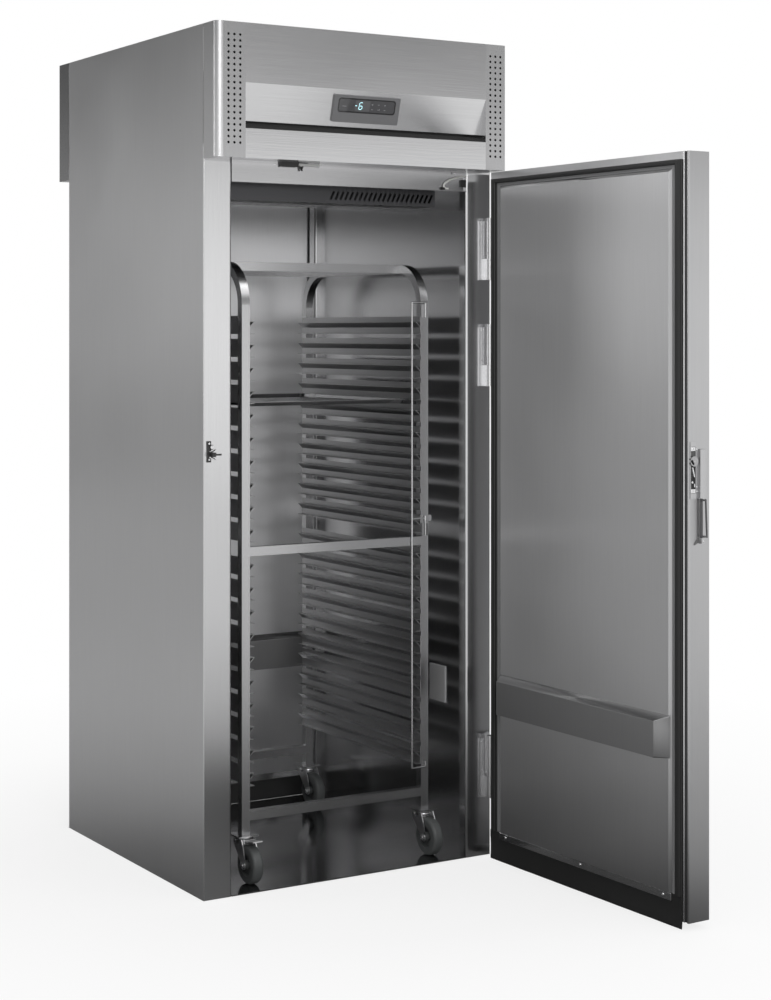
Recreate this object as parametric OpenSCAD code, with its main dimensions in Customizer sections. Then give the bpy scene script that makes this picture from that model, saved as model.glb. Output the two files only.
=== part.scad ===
// Roll-through chiller with a door on each side and a tray trolley parked inside.
// Origin: centre of the footprint, on the floor. Front is -Y, up is +Z. Millimetres.

/* [Cabinet] */
// Width across the two side panels
cab_w = 930; // [930:5:1200]
// Depth between the front and rear jamb faces
cab_d = 930; // [920:5:1300]
// Thickness of the insulated side walls
wall_t = 62; // [50:1:66]
// Width of each jamb beside a door opening
jamb_w = 85; // [75:1:90]
// Depth of each jamb and lintel
jamb_d = 42; // [35:1:44]
// Height of the door openings
opening_h = 1930; // [1800:1:2100]
// How far the lintels hang below the chamber ceiling
lintel_drop = 20; // [12:1:40]
// Thickness of the insulated ceiling
roof_t = 80; // [60:1:85]
// Sheet thickness of the panel skins
skin_t = 1.2; // [0.8:0.1:2]
// Thickness of the floor sheet
floor_t = 3; // [2:0.5:5]

/* [Fascia] */
// Height of the fascias' lower edge above the door openings
fascia_rise = 59; // [57:1:70]
// Height of the fascias
fascia_h = 361; // [356:1:450]
// How far each fascia stands out from the jamb faces
fascia_out = 75; // [70:1:95]
// Sheet thickness of the fascias
fascia_t = 1.5; // [1:0.1:2.5]
// Height of the lower front plate
lower_plate_h = 79; // [60:1:90]
// Height of the dark slot above the lower plate
slot_h = 22; // [15:1:30]
// Height of the sloping recessed band
band_h = 100; // [90:1:120]
// Depth of the band at its lower edge
band_in = 28; // [20:1:35]
// Width of the solid corner post at the left of the front fascia
corner_post_w = 21; // [15:1:30]
// Width of each perforated panel
grille_w = 67; // [60:1:75]
// Diameter of the perforations
perf_d = 7; // [5:0.5:9]
// Distance between perforations
perf_pitch = 16; // [14:0.5:17]

/* [Control panel] */
// Width of the control bezel
bezel_w = 212; // [200:1:260]
// Height of the control bezel
bezel_h = 76; // [70:1:80]
// Thickness of the control bezel
bezel_t = 6; // [5:0.5:10]
// Width of the display window
window_w = 184; // [120:1:190]
// Height of the display window
window_h = 40; // [30:1:44]

/* [Doors] */
// Thickness of the insulated door slab
door_t = 72; // [60:1:76]
// Gap between the door's top edge and the fascia
door_top_gap = 4; // [2:0.5:8]
// Height of the door's lower edge above the floor
door_bottom = 20; // [15:1:30]
// Distance from the free edge to the cabinet's side
free_margin = 48; // [42:1:56]
// Space between the closed door's inner face and the jambs
seal_space = 12; // [10:0.5:16]
// Clearance left between the relaxed seal and the jambs
seal_gap = 0.5; // [0.3:0.1:1]
// Height of the door liner above the slab's inner face
liner_rise = 8; // [5:0.5:9]
// Angle at which the front door stands open
door_open = 91.5; // [91.5]
// Lower edge of the bumper bar
bumper_z = 430; // [350:5:600]
// Height of the bumper bar
bumper_h = 110; // [80:1:140]
// How far the bumper bar stands out from the liner
bumper_out = 42; // [30:1:50]

/* [Door hardware] */
// Distance from the hinge axis to the cabinet's side
hinge_in = 14; // [13:0.5:18]
// Distance from the hinge axis to the jamb face
hinge_out = 22; // [22:0.5:24]
// Height of each hinge
hinge_h = 180; // [150:5:184]
// Diameter of the hinge pins
hinge_pin_d = 10; // [8:0.5:12]
// Radial running clearance of pins and axles
run_fit = 0.05; // [0.02:0.01:0.1]
// Height of the latch claw's strike pin
strike_z = 1195; // [1100:5:1260]
// Diameter of the strike pin
strike_pin_d = 5; // [4:0.5:6]
// Length of the handle, housing and grip together
handle_l = 240; // [225:5:300]
// Lower end of the handle
handle_z = 985; // [850:5:1000]

/* [Trolley] */
// Width of the trolley over its side frames
trolley_w = 612; // [520:2:620]
// Depth of the trolley over its side frames
trolley_d = 712; // [600:4:720]
// Headroom between the trolley and the top of the door openings
headroom = 208; // [120:1:230]
// Width of the square frame tube
tube_w = 25; // [20:1:30]
// Wall thickness of the frame tube
tube_t = 1.5; // [1:0.1:2.5]
// Centre-line radius of the frame's bends
bend_r = 110; // [70:5:150]
// Sideways offset of the parked trolley from the chamber's centre
park_x = 10; // [-5:1:12]
// Lengthways offset of the parked trolley from the chamber's centre
park_y = -6; // [-12:1:12]
// Tray levels in each of the two blocks
levels = 10; // [6:1:10]
// Height of the lowest tray level
lowest_level = 298.4; // [298:0.1:360]
// Depth of each runner's ledge
ledge_w = 16; // [12:0.5:20]
// Sheet thickness of the runners
runner_t = 1.2; // [1:0.1:2]
// Depth of the pan of the serving tray
tray_depth = 20; // [12:1:40]
// Level that holds the tray, counted from the top
tray_level = 3; // [0:1:8]

/* [Casters] */
// Diameter of the wheels
wheel_d = 106; // [90:1:110]
// Width of the wheels
wheel_w = 32; // [24:1:36]
// Distance from the swivel axis back to the axle
caster_trail = 39; // [30:1:40]
// Diameter of the axles
axle_d = 10; // [8:0.5:12]

/* [Refrigeration unit] */
// Diameter of the condenser fan
fan_d = 236; // [180:2:250]
// Width of the condenser coil
coil_w = 330; // [260:5:340]
// Height of the condenser coil
coil_h = 270; // [250:5:280]
// Diameter of the compressor can
can_d = 156; // [130:2:170]
// Height of the compressor can
can_h = 190; // [150:5:230]
// Slots in the air duct
duct_slots = 22; // [10:1:24]

/* [Hidden] */
$fn = 48;
half_w = cab_w / 2;
half_d = cab_d / 2;
open_x = half_w - jamb_w;
inner_x = half_w - wall_t;
inner_y = half_d - jamb_d;
ceiling_z = opening_h + lintel_drop;
deck_z = ceiling_z + roof_t;
fascia_y = half_d + fascia_out;
fascia_z = opening_h + fascia_rise;
cab_h = fascia_z + fascia_h;
slot_z = fascia_z + lower_plate_h;
band_z = slot_z + slot_h;
band_top = band_z + band_h;
slot_in = 60;
post_round = 17;
band_tilt = atan(band_in / band_h);
body_gap = 0.3;
nose_r = 7;
corner_r = 3;

// The fascia's centre panel lies between the perforated panels
centre_left = -half_w + corner_post_w + grille_w;
centre_right = half_w - grille_w;
perf_rows = floor((fascia_h - 56) / perf_pitch);

// Door sizes in the door's own frame: u from the hinge axis to the free edge, v outwards
hinge_x = half_w - hinge_in;
hinge_y = half_d + hinge_out;
door_u0 = 14;
door_u1 = hinge_x + half_w - free_margin;
door_v0 = seal_space - hinge_out;
door_v1 = door_v0 + door_t;
door_top = fascia_z - door_top_gap;
jamb_v = -hinge_out;
door_edge_r = 4;
groove_depth = 4;
groove_u0 = door_u1 - 15;
groove_u1 = door_u1 - 5;
seal_side_w = 38;
seal_top_w = 22;
seal_base_t = 3;
bellows_w = 20;
seal_u0 = door_u0 + 14;
seal_u1 = hinge_x + open_x + 15;
seal_z1 = opening_h + 35;
liner_u0 = seal_u0 + seal_side_w;
liner_u1 = seal_u1 - seal_side_w;
sweep_top = 85;
sweep_bottom = 3;
sweep_t = 5;
strip_h = 19;
liner_z0 = sweep_top + 1;
liner_z1 = seal_z1 - seal_top_w;
hinge_z = [door_bottom + 151, door_top - 619, door_top - 310];
leaf_short = 9;
hinge_base_h = 61;
barrel_r = 12;
hinge_pin_r = hinge_pin_d / 2;

// Handle and latch, placed from the free edge
grip_l = 99;
grip_z = handle_z + 15;
housing_z = grip_z + grip_l + 1;
housing_top = handle_z + handle_l;
handle_v0 = 22;
handle_v1 = 42;
lever_u = door_u1 + 8;
lever_v = 27;
lever_pin_r = 3;
grip_slant = 3;
lock_t = 3;
pin_v = -4;
claw_z = strike_z;
claw_turn = 55;
claw_stud_r = 2.5;
claw_t = 5;
claw_u = door_u1 + lock_t + 0.4;
claw_slot_w = strike_pin_d + 1;
claw_throw = claw_stud_r + 1.5 + claw_slot_w / 2;
claw_v = pin_v + claw_throw;
claw_r = claw_throw + claw_slot_w / 2 + 3;
strike_pin_r = strike_pin_d / 2;

// Trolley frame
trolley_h = opening_h - headroom;
side_x = trolley_w / 2;
post_x = side_x - tube_w / 2;
post_y = trolley_d / 2 - tube_w / 2;
web_x = side_x - tube_w;
wheel_r = wheel_d / 2;
axle_r = axle_d / 2;
axle_z = floor_t + body_gap + wheel_r;
fork_z = axle_z + wheel_r + 2.7;
head_h = 15.7;
foot_plate_t = 4;
pedal_w = 30;
pedal_y = -32;
pedal_z = fork_z + 7;
foot_plate_w = 62;
post_z = fork_z + head_h + body_gap + foot_plate_t;
ledge_top_z = trolley_h - 169;
block_gap = 31;
level_pitch = (ledge_top_z - lowest_level - block_gap) / (2 * levels - 1);
ledge_drop = 34;
web_rise = 16;
tray_clear = 4;
tray_z = ledge_top_z - tray_level * level_pitch - ledge_drop + body_gap;
rod_r = 3;
rod_reach = 46;
rod_y = -trolley_d / 2 - rod_r - 1.5;
rod_top = trolley_h - bend_r - 6;
rod_bottom = 272;
eye_h = 40;
corners = [[-1, -1], [1, -1], [-1, 1], [1, 1]];

// Refrigeration unit on the chamber roof
evap_w = 2 * inner_x - 186;
evap_y0 = 18 - inner_y;
evap_y1 = evap_y0 + 255;
evap_h = 230;
evap_wall = 20;
duct_x0 = -open_x;
duct_x1 = open_x - 52;
duct_y0 = 43 - inner_y;
duct_y1 = duct_y0 + 95;
duct_h = 62;
return_y = [duct_y0 + 5, duct_y0 + 50];
supply_y = [evap_y0 + 165, evap_y0 + 215];
vent_x = evap_w / 2 - 40;
base_x0 = -250;
base_x1 = 330;
base_y0 = evap_y1 + 30;
base_y1 = base_y0 + 545;
base_h = 30;
base_z = deck_z + base_h;
ebox_low = [base_x1 - 190, base_y1 - 175, base_z];
ebox_high = [base_x1 - 5, base_y1 - 25, base_z + 150];
lid_over = 4;
coil_x = -75;
coil_y = base_y1 - 65;
coil_t = 60;
shroud_d = 60;
shroud_y = coil_y - coil_t / 2 - shroud_d;
fan_y = shroud_y + 25;
fan_z = base_z + coil_h / 2;
shaft_r = 4;
can_x = 230;
can_y = base_y0 + 180;
can_z = base_z + 12;
evap_fan_d = 150;
evap_fan_y = evap_y0 + 185;
evap_fan_z = deck_z + 110;
drain_x = -290;
drain_z = deck_z + 15;
drain_r = 8;
pipe_r = 5;
suction_r = 8;
mains_x = -230;
pad_z = 425;
pad_y = 100 - inner_y;

// Pocket and route of the frame heater's lead, from the opening's top right corner, points chosen by hand
pocket_w = 108;
pocket_in = 9;
pocket_top = opening_h + 55;
lead_r = 2.5;
lead_y = -half_d + 4.5;
lead_route = [[0.4, 45], [-14, 45], [-30, 44], [-46, 41], [-62, 37], [-76, 32], [-88, 26], [-96, 19], [-98, 13],
    [-95, 8.6], [-89, 7], [-82, 7]];

// Box given by its low and high corners
module block(low, high) {
    translate(low) cube(high - low);
}

// Rectangle with round corners, centred
module round_rect(w, h, r) {
    square([w - 2 * r, h], center = true);
    square([w, h - 2 * r], center = true);
    for (x = [-1, 1]) for (y = [-1, 1]) translate([x * (w / 2 - r), y * (h / 2 - r)]) circle(r);
}

// Closed box of sheet
module sheet_box(low, high, t) {
    difference() {
        block(low, high);
        block(low + [t, t, t], high - [t, t, t]);
    }
}

// Plan of the right wall with its two jambs, drawn inset by g
function wall_plan(g) = [
    [open_x + g, -half_d + g], [half_w - g, -half_d + g], [half_w - g, half_d - g], [open_x + g, half_d - g],
    [open_x + g, inner_y + g], [inner_x + g, inner_y + g], [inner_x + g, -inner_y - g], [open_x + g, -inner_y - g]
];

// Plan of the right wall inset by g, with rounded noses on the jambs and rounded outer corners
module wall_section(g) {
    difference() {
        polygon(wall_plan(g));
        for (y = [-1, 1]) {
            scale([1, y]) translate([open_x - 1, -half_d - 1]) square(nose_r + 1);
            scale([1, y]) translate([open_x - 1, -inner_y - nose_r]) square([nose_r + 1, nose_r + 1]);
            scale([1, y]) translate([half_w - corner_r, -half_d - 1]) square([corner_r + 1, corner_r + 1]);
        }
    }
    for (y = [-1, 1]) {
        translate([open_x + nose_r, y * (half_d - nose_r)]) circle(nose_r - g);
        translate([open_x + nose_r, y * (inner_y + nose_r)]) circle(nose_r - g);
        translate([half_w - corner_r, y * (half_d - corner_r)]) circle(corner_r - g);
    }
}

// Insulated wall with jambs, and the thin skirt that hides the refrigeration unit
module side_wall() {
    difference() {
        linear_extrude(deck_z) wall_section(0);
        translate([0, 0, skin_t]) linear_extrude(deck_z - 2 * skin_t) wall_section(skin_t);
    }
    block([half_w - skin_t, -half_d + corner_r, deck_z], [half_w, half_d - corner_r, cab_h]);
    block([half_w - 25, -half_d + corner_r, cab_h - skin_t], [half_w, half_d - corner_r, cab_h]);
}

module left_wall() {
    color([0.66, 0.67, 0.68]) mirror([1, 0, 0]) side_wall();
}

module right_wall() {
    color([0.66, 0.67, 0.68]) side_wall();
}

// Plan of the ceiling panel with its two air openings, inset by g
module roof_plan(g) {
    difference() {
        square([2 * (inner_x - g), 2 * (inner_y - g)], center = true);
        for (span = [return_y, supply_y]) {
            translate([-vent_x - g, span[0] - g]) square([2 * (vent_x + g), span[1] - span[0] + 2 * g]);
        }
    }
}

module chamber_roof() {
    color([0.6, 0.61, 0.62]) translate([0, 0, ceiling_z]) difference() {
        linear_extrude(roof_t) roof_plan(0);
        translate([0, 0, skin_t]) linear_extrude(roof_t - 2 * skin_t) roof_plan(skin_t);
    }
}

module floor_pan() {
    color([0.35, 0.35, 0.36]) linear_extrude(floor_t) {
        square([2 * inner_x, 2 * inner_y], center = true);
        square([2 * open_x, cab_d], center = true);
    }
}

// Front and rear lintels; the front one has a pocket for the heater's lead
module lintels() {
    color([0.62, 0.63, 0.64]) {
        difference() {
            block([-open_x, -half_d, opening_h], [open_x, -inner_y, deck_z]);
            block([-open_x + skin_t, -half_d + pocket_in + 2 * skin_t, opening_h + skin_t],
                [open_x - skin_t, -inner_y - skin_t, deck_z - skin_t]);
            block([open_x - pocket_w, -half_d - 1, opening_h + 2], [open_x + 1, -half_d + pocket_in, pocket_top]);
        }
        sheet_box([-open_x, inner_y, opening_h], [open_x, half_d, deck_z], skin_t);
    }
}

// Section of the front fascia: lower plate, dark slot, sloping band, upper plate
module fascia_section() {
    t = fascia_t;
    f = -fascia_y;
    polygon([
        [-half_d, fascia_z], [f, fascia_z], [f, slot_z], [f + slot_in, slot_z], [f + slot_in, band_z],
        [f + band_in, band_z], [f, band_top], [f, cab_h], [f + t, cab_h], [f + t, band_top],
        [f + band_in + t, band_z + t], [f + slot_in + t, band_z + t], [f + slot_in + t, slot_z - t],
        [f + t, slot_z - t], [f + t, fascia_z + t], [-half_d, fascia_z + t]
    ]);
}

// Sets a section drawn in Y and Z along X from x0 to x1
module along_x(x0, x1) {
    translate([x0, 0, 0]) rotate([90, 0, 90]) linear_extrude(x1 - x0) children();
}

module front_fascia() {
    color([0.7, 0.71, 0.72]) {
        along_x(centre_left, centre_right) fascia_section();
        translate([-half_w, 0, fascia_z]) linear_extrude(fascia_h) {
            translate([0, post_round - fascia_y]) square([corner_post_w, fascia_out - post_round]);
            translate([post_round, -fascia_y]) square([corner_post_w - post_round, post_round]);
            intersection() {
                translate([post_round, post_round - fascia_y]) circle(post_round);
                translate([0, -fascia_y]) square(post_round);
            }
        }
    }
}

module rear_fascia() {
    drain_hole_r = drain_r + body_gap;
    color([0.66, 0.67, 0.68]) difference() {
        union() {
            block([-centre_right, fascia_y - fascia_t, fascia_z], [centre_right, fascia_y, cab_h]);
            block([-centre_right, half_d, fascia_z], [centre_right, fascia_y, fascia_z + fascia_t]);
        }
        for (hole = [[drain_x, drain_hole_r], [mains_x, 8]]) {
            translate([hole[0], fascia_y + 1, drain_z]) rotate([90, 0, 0]) cylinder(h = fascia_t + 2, r = hole[1]);
        }
    }
}

// Perforated channel that closes one end of a fascia, front face on y = -fascia_y
module grille_panel(x0) {
    x1 = x0 + grille_w;
    difference() {
        block([x0, -fascia_y, fascia_z], [x1, -half_d, cab_h]);
        block([x0 + fascia_t, -fascia_y + fascia_t, fascia_z + fascia_t], [x1 - fascia_t, -half_d + 1, cab_h + 1]);
        for (row = [0:perf_rows - 1]) for (column = [-1:1]) {
            translate([x0 + grille_w / 2 + column * (perf_pitch + 1.5), -fascia_y - 1, fascia_z + 39 + row * perf_pitch])
                rotate([-90, 0, 0]) cylinder(h = fascia_t + 2, d = perf_d, $fn = 24);
        }
    }
}

module grille_panels() {
    color([0.72, 0.73, 0.74]) {
        grille_panel(centre_left - grille_w);
        grille_panel(centre_right);
        mirror([0, 1, 0]) {
            grille_panel(-half_w);
            grille_panel(centre_right);
        }
    }
}

// Puts children flat on the sloping band: X along it, Y up it, Z out of it
module on_band() {
    translate([4, -fascia_y + band_in / 2, band_z + band_h / 2]) rotate([90 + band_tilt, 0, 0]) children();
}

window_up = 10;
window_seat = bezel_t - 2.5;

module control_bezel() {
    color([0.42, 0.42, 0.43]) on_band() difference() {
        linear_extrude(bezel_t) round_rect(bezel_w, bezel_h, 4);
        translate([0, window_up, window_seat]) linear_extrude(bezel_t) round_rect(window_w + 0.6, window_h + 0.6, 8.3);
    }
}

module display_window() {
    color([0.05, 0.05, 0.06]) on_band() translate([0, window_up, window_seat])
        linear_extrude(2.2) round_rect(window_w, window_h, 8);
}

// Sheet duct under the ceiling with slanted slots in its front face
module air_duct() {
    slot_pitch = 15.7;
    color([0.55, 0.55, 0.56]) difference() {
        block([duct_x0, duct_y0, ceiling_z - duct_h], [duct_x1, duct_y1, ceiling_z]);
        block([duct_x0 + skin_t, duct_y0 + skin_t, ceiling_z - duct_h + skin_t],
            [duct_x1 - skin_t, duct_y1 - skin_t, ceiling_z + 1]);
        for (i = [0:duct_slots - 1]) {
            translate([duct_x1 - 16 - i * slot_pitch, duct_y0 - 1, ceiling_z - duct_h + 22])
                rotate([0, 26, 0]) translate([-3.5, 0, -13]) cube([7, skin_t + 2, 26]);
        }
    }
}

module evaporator_box() {
    color([0.85, 0.85, 0.84]) difference() {
        block([-evap_w / 2, evap_y0, deck_z], [evap_w / 2, evap_y1, deck_z + evap_h]);
        block([-evap_w / 2 + evap_wall, evap_y0 + evap_wall, deck_z - 1],
            [evap_w / 2 - evap_wall, evap_y1 - evap_wall, deck_z + evap_h - evap_wall]);
    }
}

// Finned coil on legs: end plates, fins and straight tubes along X, base on z = 0
module finned_coil(w, d, h, fins, rows) {
    plate_t = 2;
    for (x = [-w / 2, w / 2 - plate_t]) translate([x, -d / 2, 0]) cube([plate_t, d, h]);
    for (i = [1:fins]) {
        translate([-w / 2 + i * w / (fins + 1) - 0.5, -d / 2 + 3, 12]) cube([1, d - 6, h - 18]);
    }
    for (row = [0:rows - 1]) for (y = [-d / 4, d / 4]) {
        translate([-w / 2 - 6, y, 30 + row * (h - 54) / (rows - 1)]) rotate([0, 90, 0]) cylinder(h = w + 6, r = 5);
    }
}

module evaporator_coil() {
    color([0.78, 0.76, 0.72]) translate([0, evap_y0 + 105, deck_z]) finned_coil(evap_w - 140, 70, 180, 16, 4);
}

// Five-bladed axial fan, axis along Y, front of the hub on y = 0
module axial_fan(d, hub_r, hub_t, bore_r) {
    difference() {
        union() {
            rotate([-90, 0, 0]) cylinder(h = hub_t, r = hub_r);
            intersection() {
                rotate([-90, 0, 0]) cylinder(h = hub_t, d = d);
                for (i = [0:4]) rotate([0, i * 72, 0]) translate([0, hub_t / 2, d / 4]) rotate([0, 0, 32])
                    cube([d / 3.4, 2, d / 2], center = true);
            }
        }
        translate([0, -1, 0]) rotate([-90, 0, 0]) cylinder(h = hub_t + 2, r = bore_r);
    }
}

module evaporator_fan() {
    color([0.12, 0.12, 0.13]) translate([0, evap_fan_y, evap_fan_z]) axial_fan(evap_fan_d, 20, 22, shaft_r + run_fit);
}

module condenser_fan() {
    color([0.12, 0.12, 0.13]) translate([coil_x, fan_y, fan_z]) axial_fan(fan_d, 30, 26, shaft_r + run_fit);
}

// Fan motor with its shaft; the body's length runs along Y from y0 to y1, the shaft on to y_end
module fan_motor(y0, y1, y_end, r) {
    translate([0, y0, 0]) rotate([-90, 0, 0]) cylinder(h = y1 - y0, r = r);
    translate([0, min(y0, y_end), 0]) rotate([-90, 0, 0]) cylinder(h = max(y1, y_end) - min(y0, y_end), r = shaft_r);
}

module fan_motors() {
    stand_w = 30;
    color([0.25, 0.25, 0.26]) {
        translate([0, 0, evap_fan_z]) fan_motor(evap_fan_y + 24, evap_y1 - evap_wall, evap_fan_y + 2, 28);
        translate([coil_x, 0, 0]) {
            translate([0, 0, fan_z]) fan_motor(shroud_y - 58, shroud_y - 12, fan_y + 24, 38);
            block([-stand_w / 2, shroud_y - 50, base_z], [stand_w / 2, shroud_y - 20, fan_z - 30]);
        }
    }
}

// Hermetic compressor: domed can on a foot plate with rubber feet and two pipe bosses
module compressor() {
    r = can_d / 2;
    dome = 34;
    color([0.08, 0.08, 0.09]) translate([can_x, can_y, 0]) {
        translate([0, 0, can_z]) rotate_extrude() {
            translate([0, dome]) square([r, can_h - 2 * dome]);
            square([r - dome, can_h]);
            intersection() {
                for (z = [dome, can_h - dome]) translate([r - dome, z]) circle(dome);
                square([r, can_h]);
            }
        }
        block([-r, -60, can_z - 4], [r, 60, can_z]);
        for (x = [-1, 1]) for (y = [-1, 1]) {
            translate([x * (r - 12), y * 48, base_z]) cylinder(h = can_z - 4 - base_z, r = 9);
        }
        translate([0, 0, base_z + 110]) rotate([0, -90, 0]) cylinder(h = r + 10, r = 9);
        translate([0, 0, base_z + 80]) rotate([90, 0, 0]) cylinder(h = r + 10, r = 12);
        block([r - 20, -28, can_z + 70], [r + 22, 28, can_z + 126]);
    }
}

module condenser_coil() {
    color([0.72, 0.7, 0.66]) translate([coil_x, coil_y, base_z]) finned_coil(coil_w, coil_t, coil_h, 24, 5);
}

// Sheet shroud round the condenser fan, with a flat guard over its inlet
module condenser_shroud() {
    inlet_r = fan_d / 2 + 4;
    color([0.3, 0.3, 0.31]) translate([coil_x, 0, base_z]) {
        difference() {
            block([-coil_w / 2, shroud_y, 0], [coil_w / 2, coil_y - coil_t / 2, coil_h]);
            block([-coil_w / 2 + 2, shroud_y + 2, 2], [coil_w / 2 - 2, coil_y, coil_h - 2]);
            translate([0, shroud_y - 1, coil_h / 2]) rotate([-90, 0, 0]) cylinder(h = 4, r = inlet_r);
        }
        translate([0, shroud_y, coil_h / 2]) rotate([90, 0, 0]) linear_extrude(3) {
            for (r = [inlet_r + 4, inlet_r - 22, inlet_r - 46, inlet_r - 70]) difference() {
                circle(r);
                circle(r - 3);
            }
            for (a = [0:45:315]) rotate(a) translate([inlet_r - 72, -1.5]) square([74, 3]);
        }
    }
}

// Copper pipe through a list of points, square to the axes, with round elbows
module pipe(points, r) {
    for (i = [0:len(points) - 2]) {
        step = points[i + 1] - points[i];
        length = norm(step);
        pitch = acos(step[2] / length);
        heading = atan2(step[1], step[0]);
        translate(points[i]) rotate([0, pitch, heading]) cylinder(h = length, r = r, $fn = 24);
    }
    for (i = [1:1:len(points) - 2]) translate(points[i]) sphere(r, $fn = 24);
}

module pipework() {
    discharge_x = coil_x + coil_w / 2 + 25;
    color([0.72, 0.45, 0.3]) {
        pipe([[can_x - can_d / 2 - 10, can_y, base_z + 110], [discharge_x, can_y, base_z + 110],
            [discharge_x, can_y, base_z + coil_h - 30], [discharge_x, coil_y - 4, base_z + coil_h - 30],
            [coil_x + coil_w / 2, coil_y - 4, base_z + coil_h - 30]], pipe_r);
        pipe([[coil_x + coil_w / 2, coil_y - 4, base_z + 45], [discharge_x, coil_y - 4, base_z + 45],
            [discharge_x, evap_y1, base_z + 45]], pipe_r);
        pipe([[can_x, evap_y1, base_z + 80], [can_x, can_y - can_d / 2 - 10, base_z + 80]], suction_r);
        difference() {
            union() {
                pipe([[drain_x, evap_y1, drain_z], [drain_x, fascia_y + 10, drain_z]], drain_r);
                translate([drain_x, fascia_y + 1, drain_z]) rotate([-90, 0, 0]) cylinder(h = 22, r = drain_r + 2);
            }
            pipe([[drain_x, evap_y1 + 1, drain_z], [drain_x, fascia_y + 24, drain_z]], drain_r - 1.5);
        }
    }
}

module electrical_box() {
    color([0.5, 0.5, 0.51]) {
        sheet_box(ebox_low, ebox_high, 1.5);
        block([ebox_low[0] - lid_over, ebox_low[1] - lid_over, ebox_high[2]],
            ebox_high + [lid_over, lid_over, 3]);
    }
}

module unit_base() {
    t = 3;
    color([0.45, 0.45, 0.46]) difference() {
        block([base_x0, base_y0, deck_z], [base_x1, base_y1, base_z]);
        block([base_x0 + t, base_y0 - 1, deck_z - 1], [base_x1 - t, base_y1 + 1, base_z - t]);
    }
}

// Tube swept along a list of points, sides around each ring
module swept_tube(points, r, sides) {
    last = len(points) - 1;
    ring = [for (i = [0:last])
        let (ahead = points[min(i + 1, last)] - points[max(i - 1, 0)], tangent = ahead / norm(ahead),
            across = [tangent[2], 0, -tangent[0]])
        for (k = [0:sides - 1]) points[i] + r * (cos(360 * k / sides) * across + sin(360 * k / sides) * [0, 1, 0])];
    sides_faces = [for (i = [0:last - 1]) for (k = [0:sides - 1])
        let (next = (k + 1) % sides)
        [i * sides + k, i * sides + next, (i + 1) * sides + next, (i + 1) * sides + k]];
    caps = [[for (k = [sides - 1:-1:0]) k], [for (k = [0:sides - 1]) last * sides + k]];
    polyhedron(points = ring, faces = concat(sides_faces, caps), convexity = 4);
}

// White lead of the door frame heater, looped in the lintel's pocket
module heater_lead() {
    color([0.92, 0.92, 0.9]) swept_tube([for (p = lead_route) [open_x + p[0], lead_y, opening_h + p[1]]], lead_r, 10);
}

// Bush where the lead enters the lintel, a sealing block beside it and the mains inlet gland at the rear
module cable_glands() {
    bush = lead_route[len(lead_route) - 1];
    bush_z = opening_h + bush[1];
    gland_len = 22;
    color([0.07, 0.07, 0.07]) {
        translate([open_x + bush[0], lead_y, bush_z]) rotate([0, 90, 0]) cylinder(h = 10, r = 3.8);
        block([open_x + bush[0] + 1, lead_y, bush_z - 3], [open_x + bush[0] + 9, -half_d + pocket_in, bush_z + 3]);
        block([open_x - 13, -half_d + 1, opening_h + 13], [open_x, -half_d + pocket_in, opening_h + 34]);
        difference() {
            union() {
                translate([mains_x, fascia_y, drain_z]) rotate([-90, 0, 0]) cylinder(h = 6, r = 13);
                translate([mains_x, fascia_y + gland_len - 6, drain_z]) rotate([90, 0, 0]) cylinder(h = gland_len, r = 7.7);
            }
            translate([mains_x, fascia_y - 10, drain_z]) rotate([-90, 0, 0]) cylinder(h = gland_len + 20, r = 4.5);
        }
    }
}

// Door switch under the front fascia and its pressed lever
switch_x = -182;
lever_x = -169;
lever_pivot = [-half_d - 5, fascia_z - 13];
lever_pin_x = 5;

module door_switch() {
    base_z0 = fascia_z - 10;
    color([0.16, 0.16, 0.17]) {
        block([switch_x - 52, -half_d - 3, base_z0], [lever_x + 24, -half_d, fascia_z]);
        block([switch_x - 52, -half_d - 10, base_z0 - 3], [switch_x, -half_d - 3, fascia_z]);
        difference() {
            for (x = [lever_x - 5, lever_x + 3.4]) {
                block([x, -half_d - 8, fascia_z - 16], [x + 1.6, -half_d, base_z0 + 1]);
            }
            translate([lever_x - 10, lever_pivot[0], lever_pivot[1]]) rotate([0, 90, 0]) cylinder(h = 20, r = 1.2 + run_fit);
        }
    }
}

module switch_lever() {
    color([0.2, 0.2, 0.21]) translate([lever_x, lever_pivot[0], lever_pivot[1]]) {
        for (x = [-lever_pin_x, 3]) translate([x, 0, 0]) rotate([0, 90, 0]) cylinder(h = lever_pin_x - 3, r = 1.2);
        translate([-3, 0, 0]) rotate([90, 0, 90]) linear_extrude(6) {
            circle(2.2);
            rotate(-24) translate([-0.6, -10]) square([1.4, 10]);
        }
    }
}

// Places a door part, drawn closed in u, v and z, at the front or the rear opening
module at_door(end, angle) {
    if (end == "front") {
        translate([hinge_x, -hinge_y, 0]) rotate([0, 0, 180 + angle]) children();
    } else {
        translate([hinge_x, hinge_y, 0]) mirror([1, 0, 0]) children();
    }
}

// Places a door part at its rest angle: the front door stands open, the rear door is shut
module on_door(end) {
    at_door(end, end == "front" ? door_open : 0) children();
}

// Strike on the free jamb: screwed plate, arm and the pin that the claw grips
module strike() {
    block([door_u1 + 27, jamb_v, strike_z - 21], [door_u1 + 38, jamb_v + 4, strike_z + 36]);
    block([door_u1 + 21, jamb_v, strike_z - 6], [door_u1 + 30, pin_v + 4, strike_z + 6]);
    block([door_u1 + 22, jamb_v, strike_z + 13], [door_u1 + 29, jamb_v + 6, strike_z + 26]);
    translate([claw_u + 0.2, pin_v, strike_z]) rotate([0, 90, 0]) cylinder(h = 20, r = strike_pin_r);
    for (z = [strike_z - 14, strike_z + 29]) {
        translate([door_u1 + 33, jamb_v, z]) rotate([-90, 0, 0]) cylinder(h = 5.5, r = 3.6);
    }
}

module latch_strikes() {
    color([0.2, 0.2, 0.21]) {
        at_door("front", 0) strike();
        at_door("rear", 0) strike();
    }
}

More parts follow.
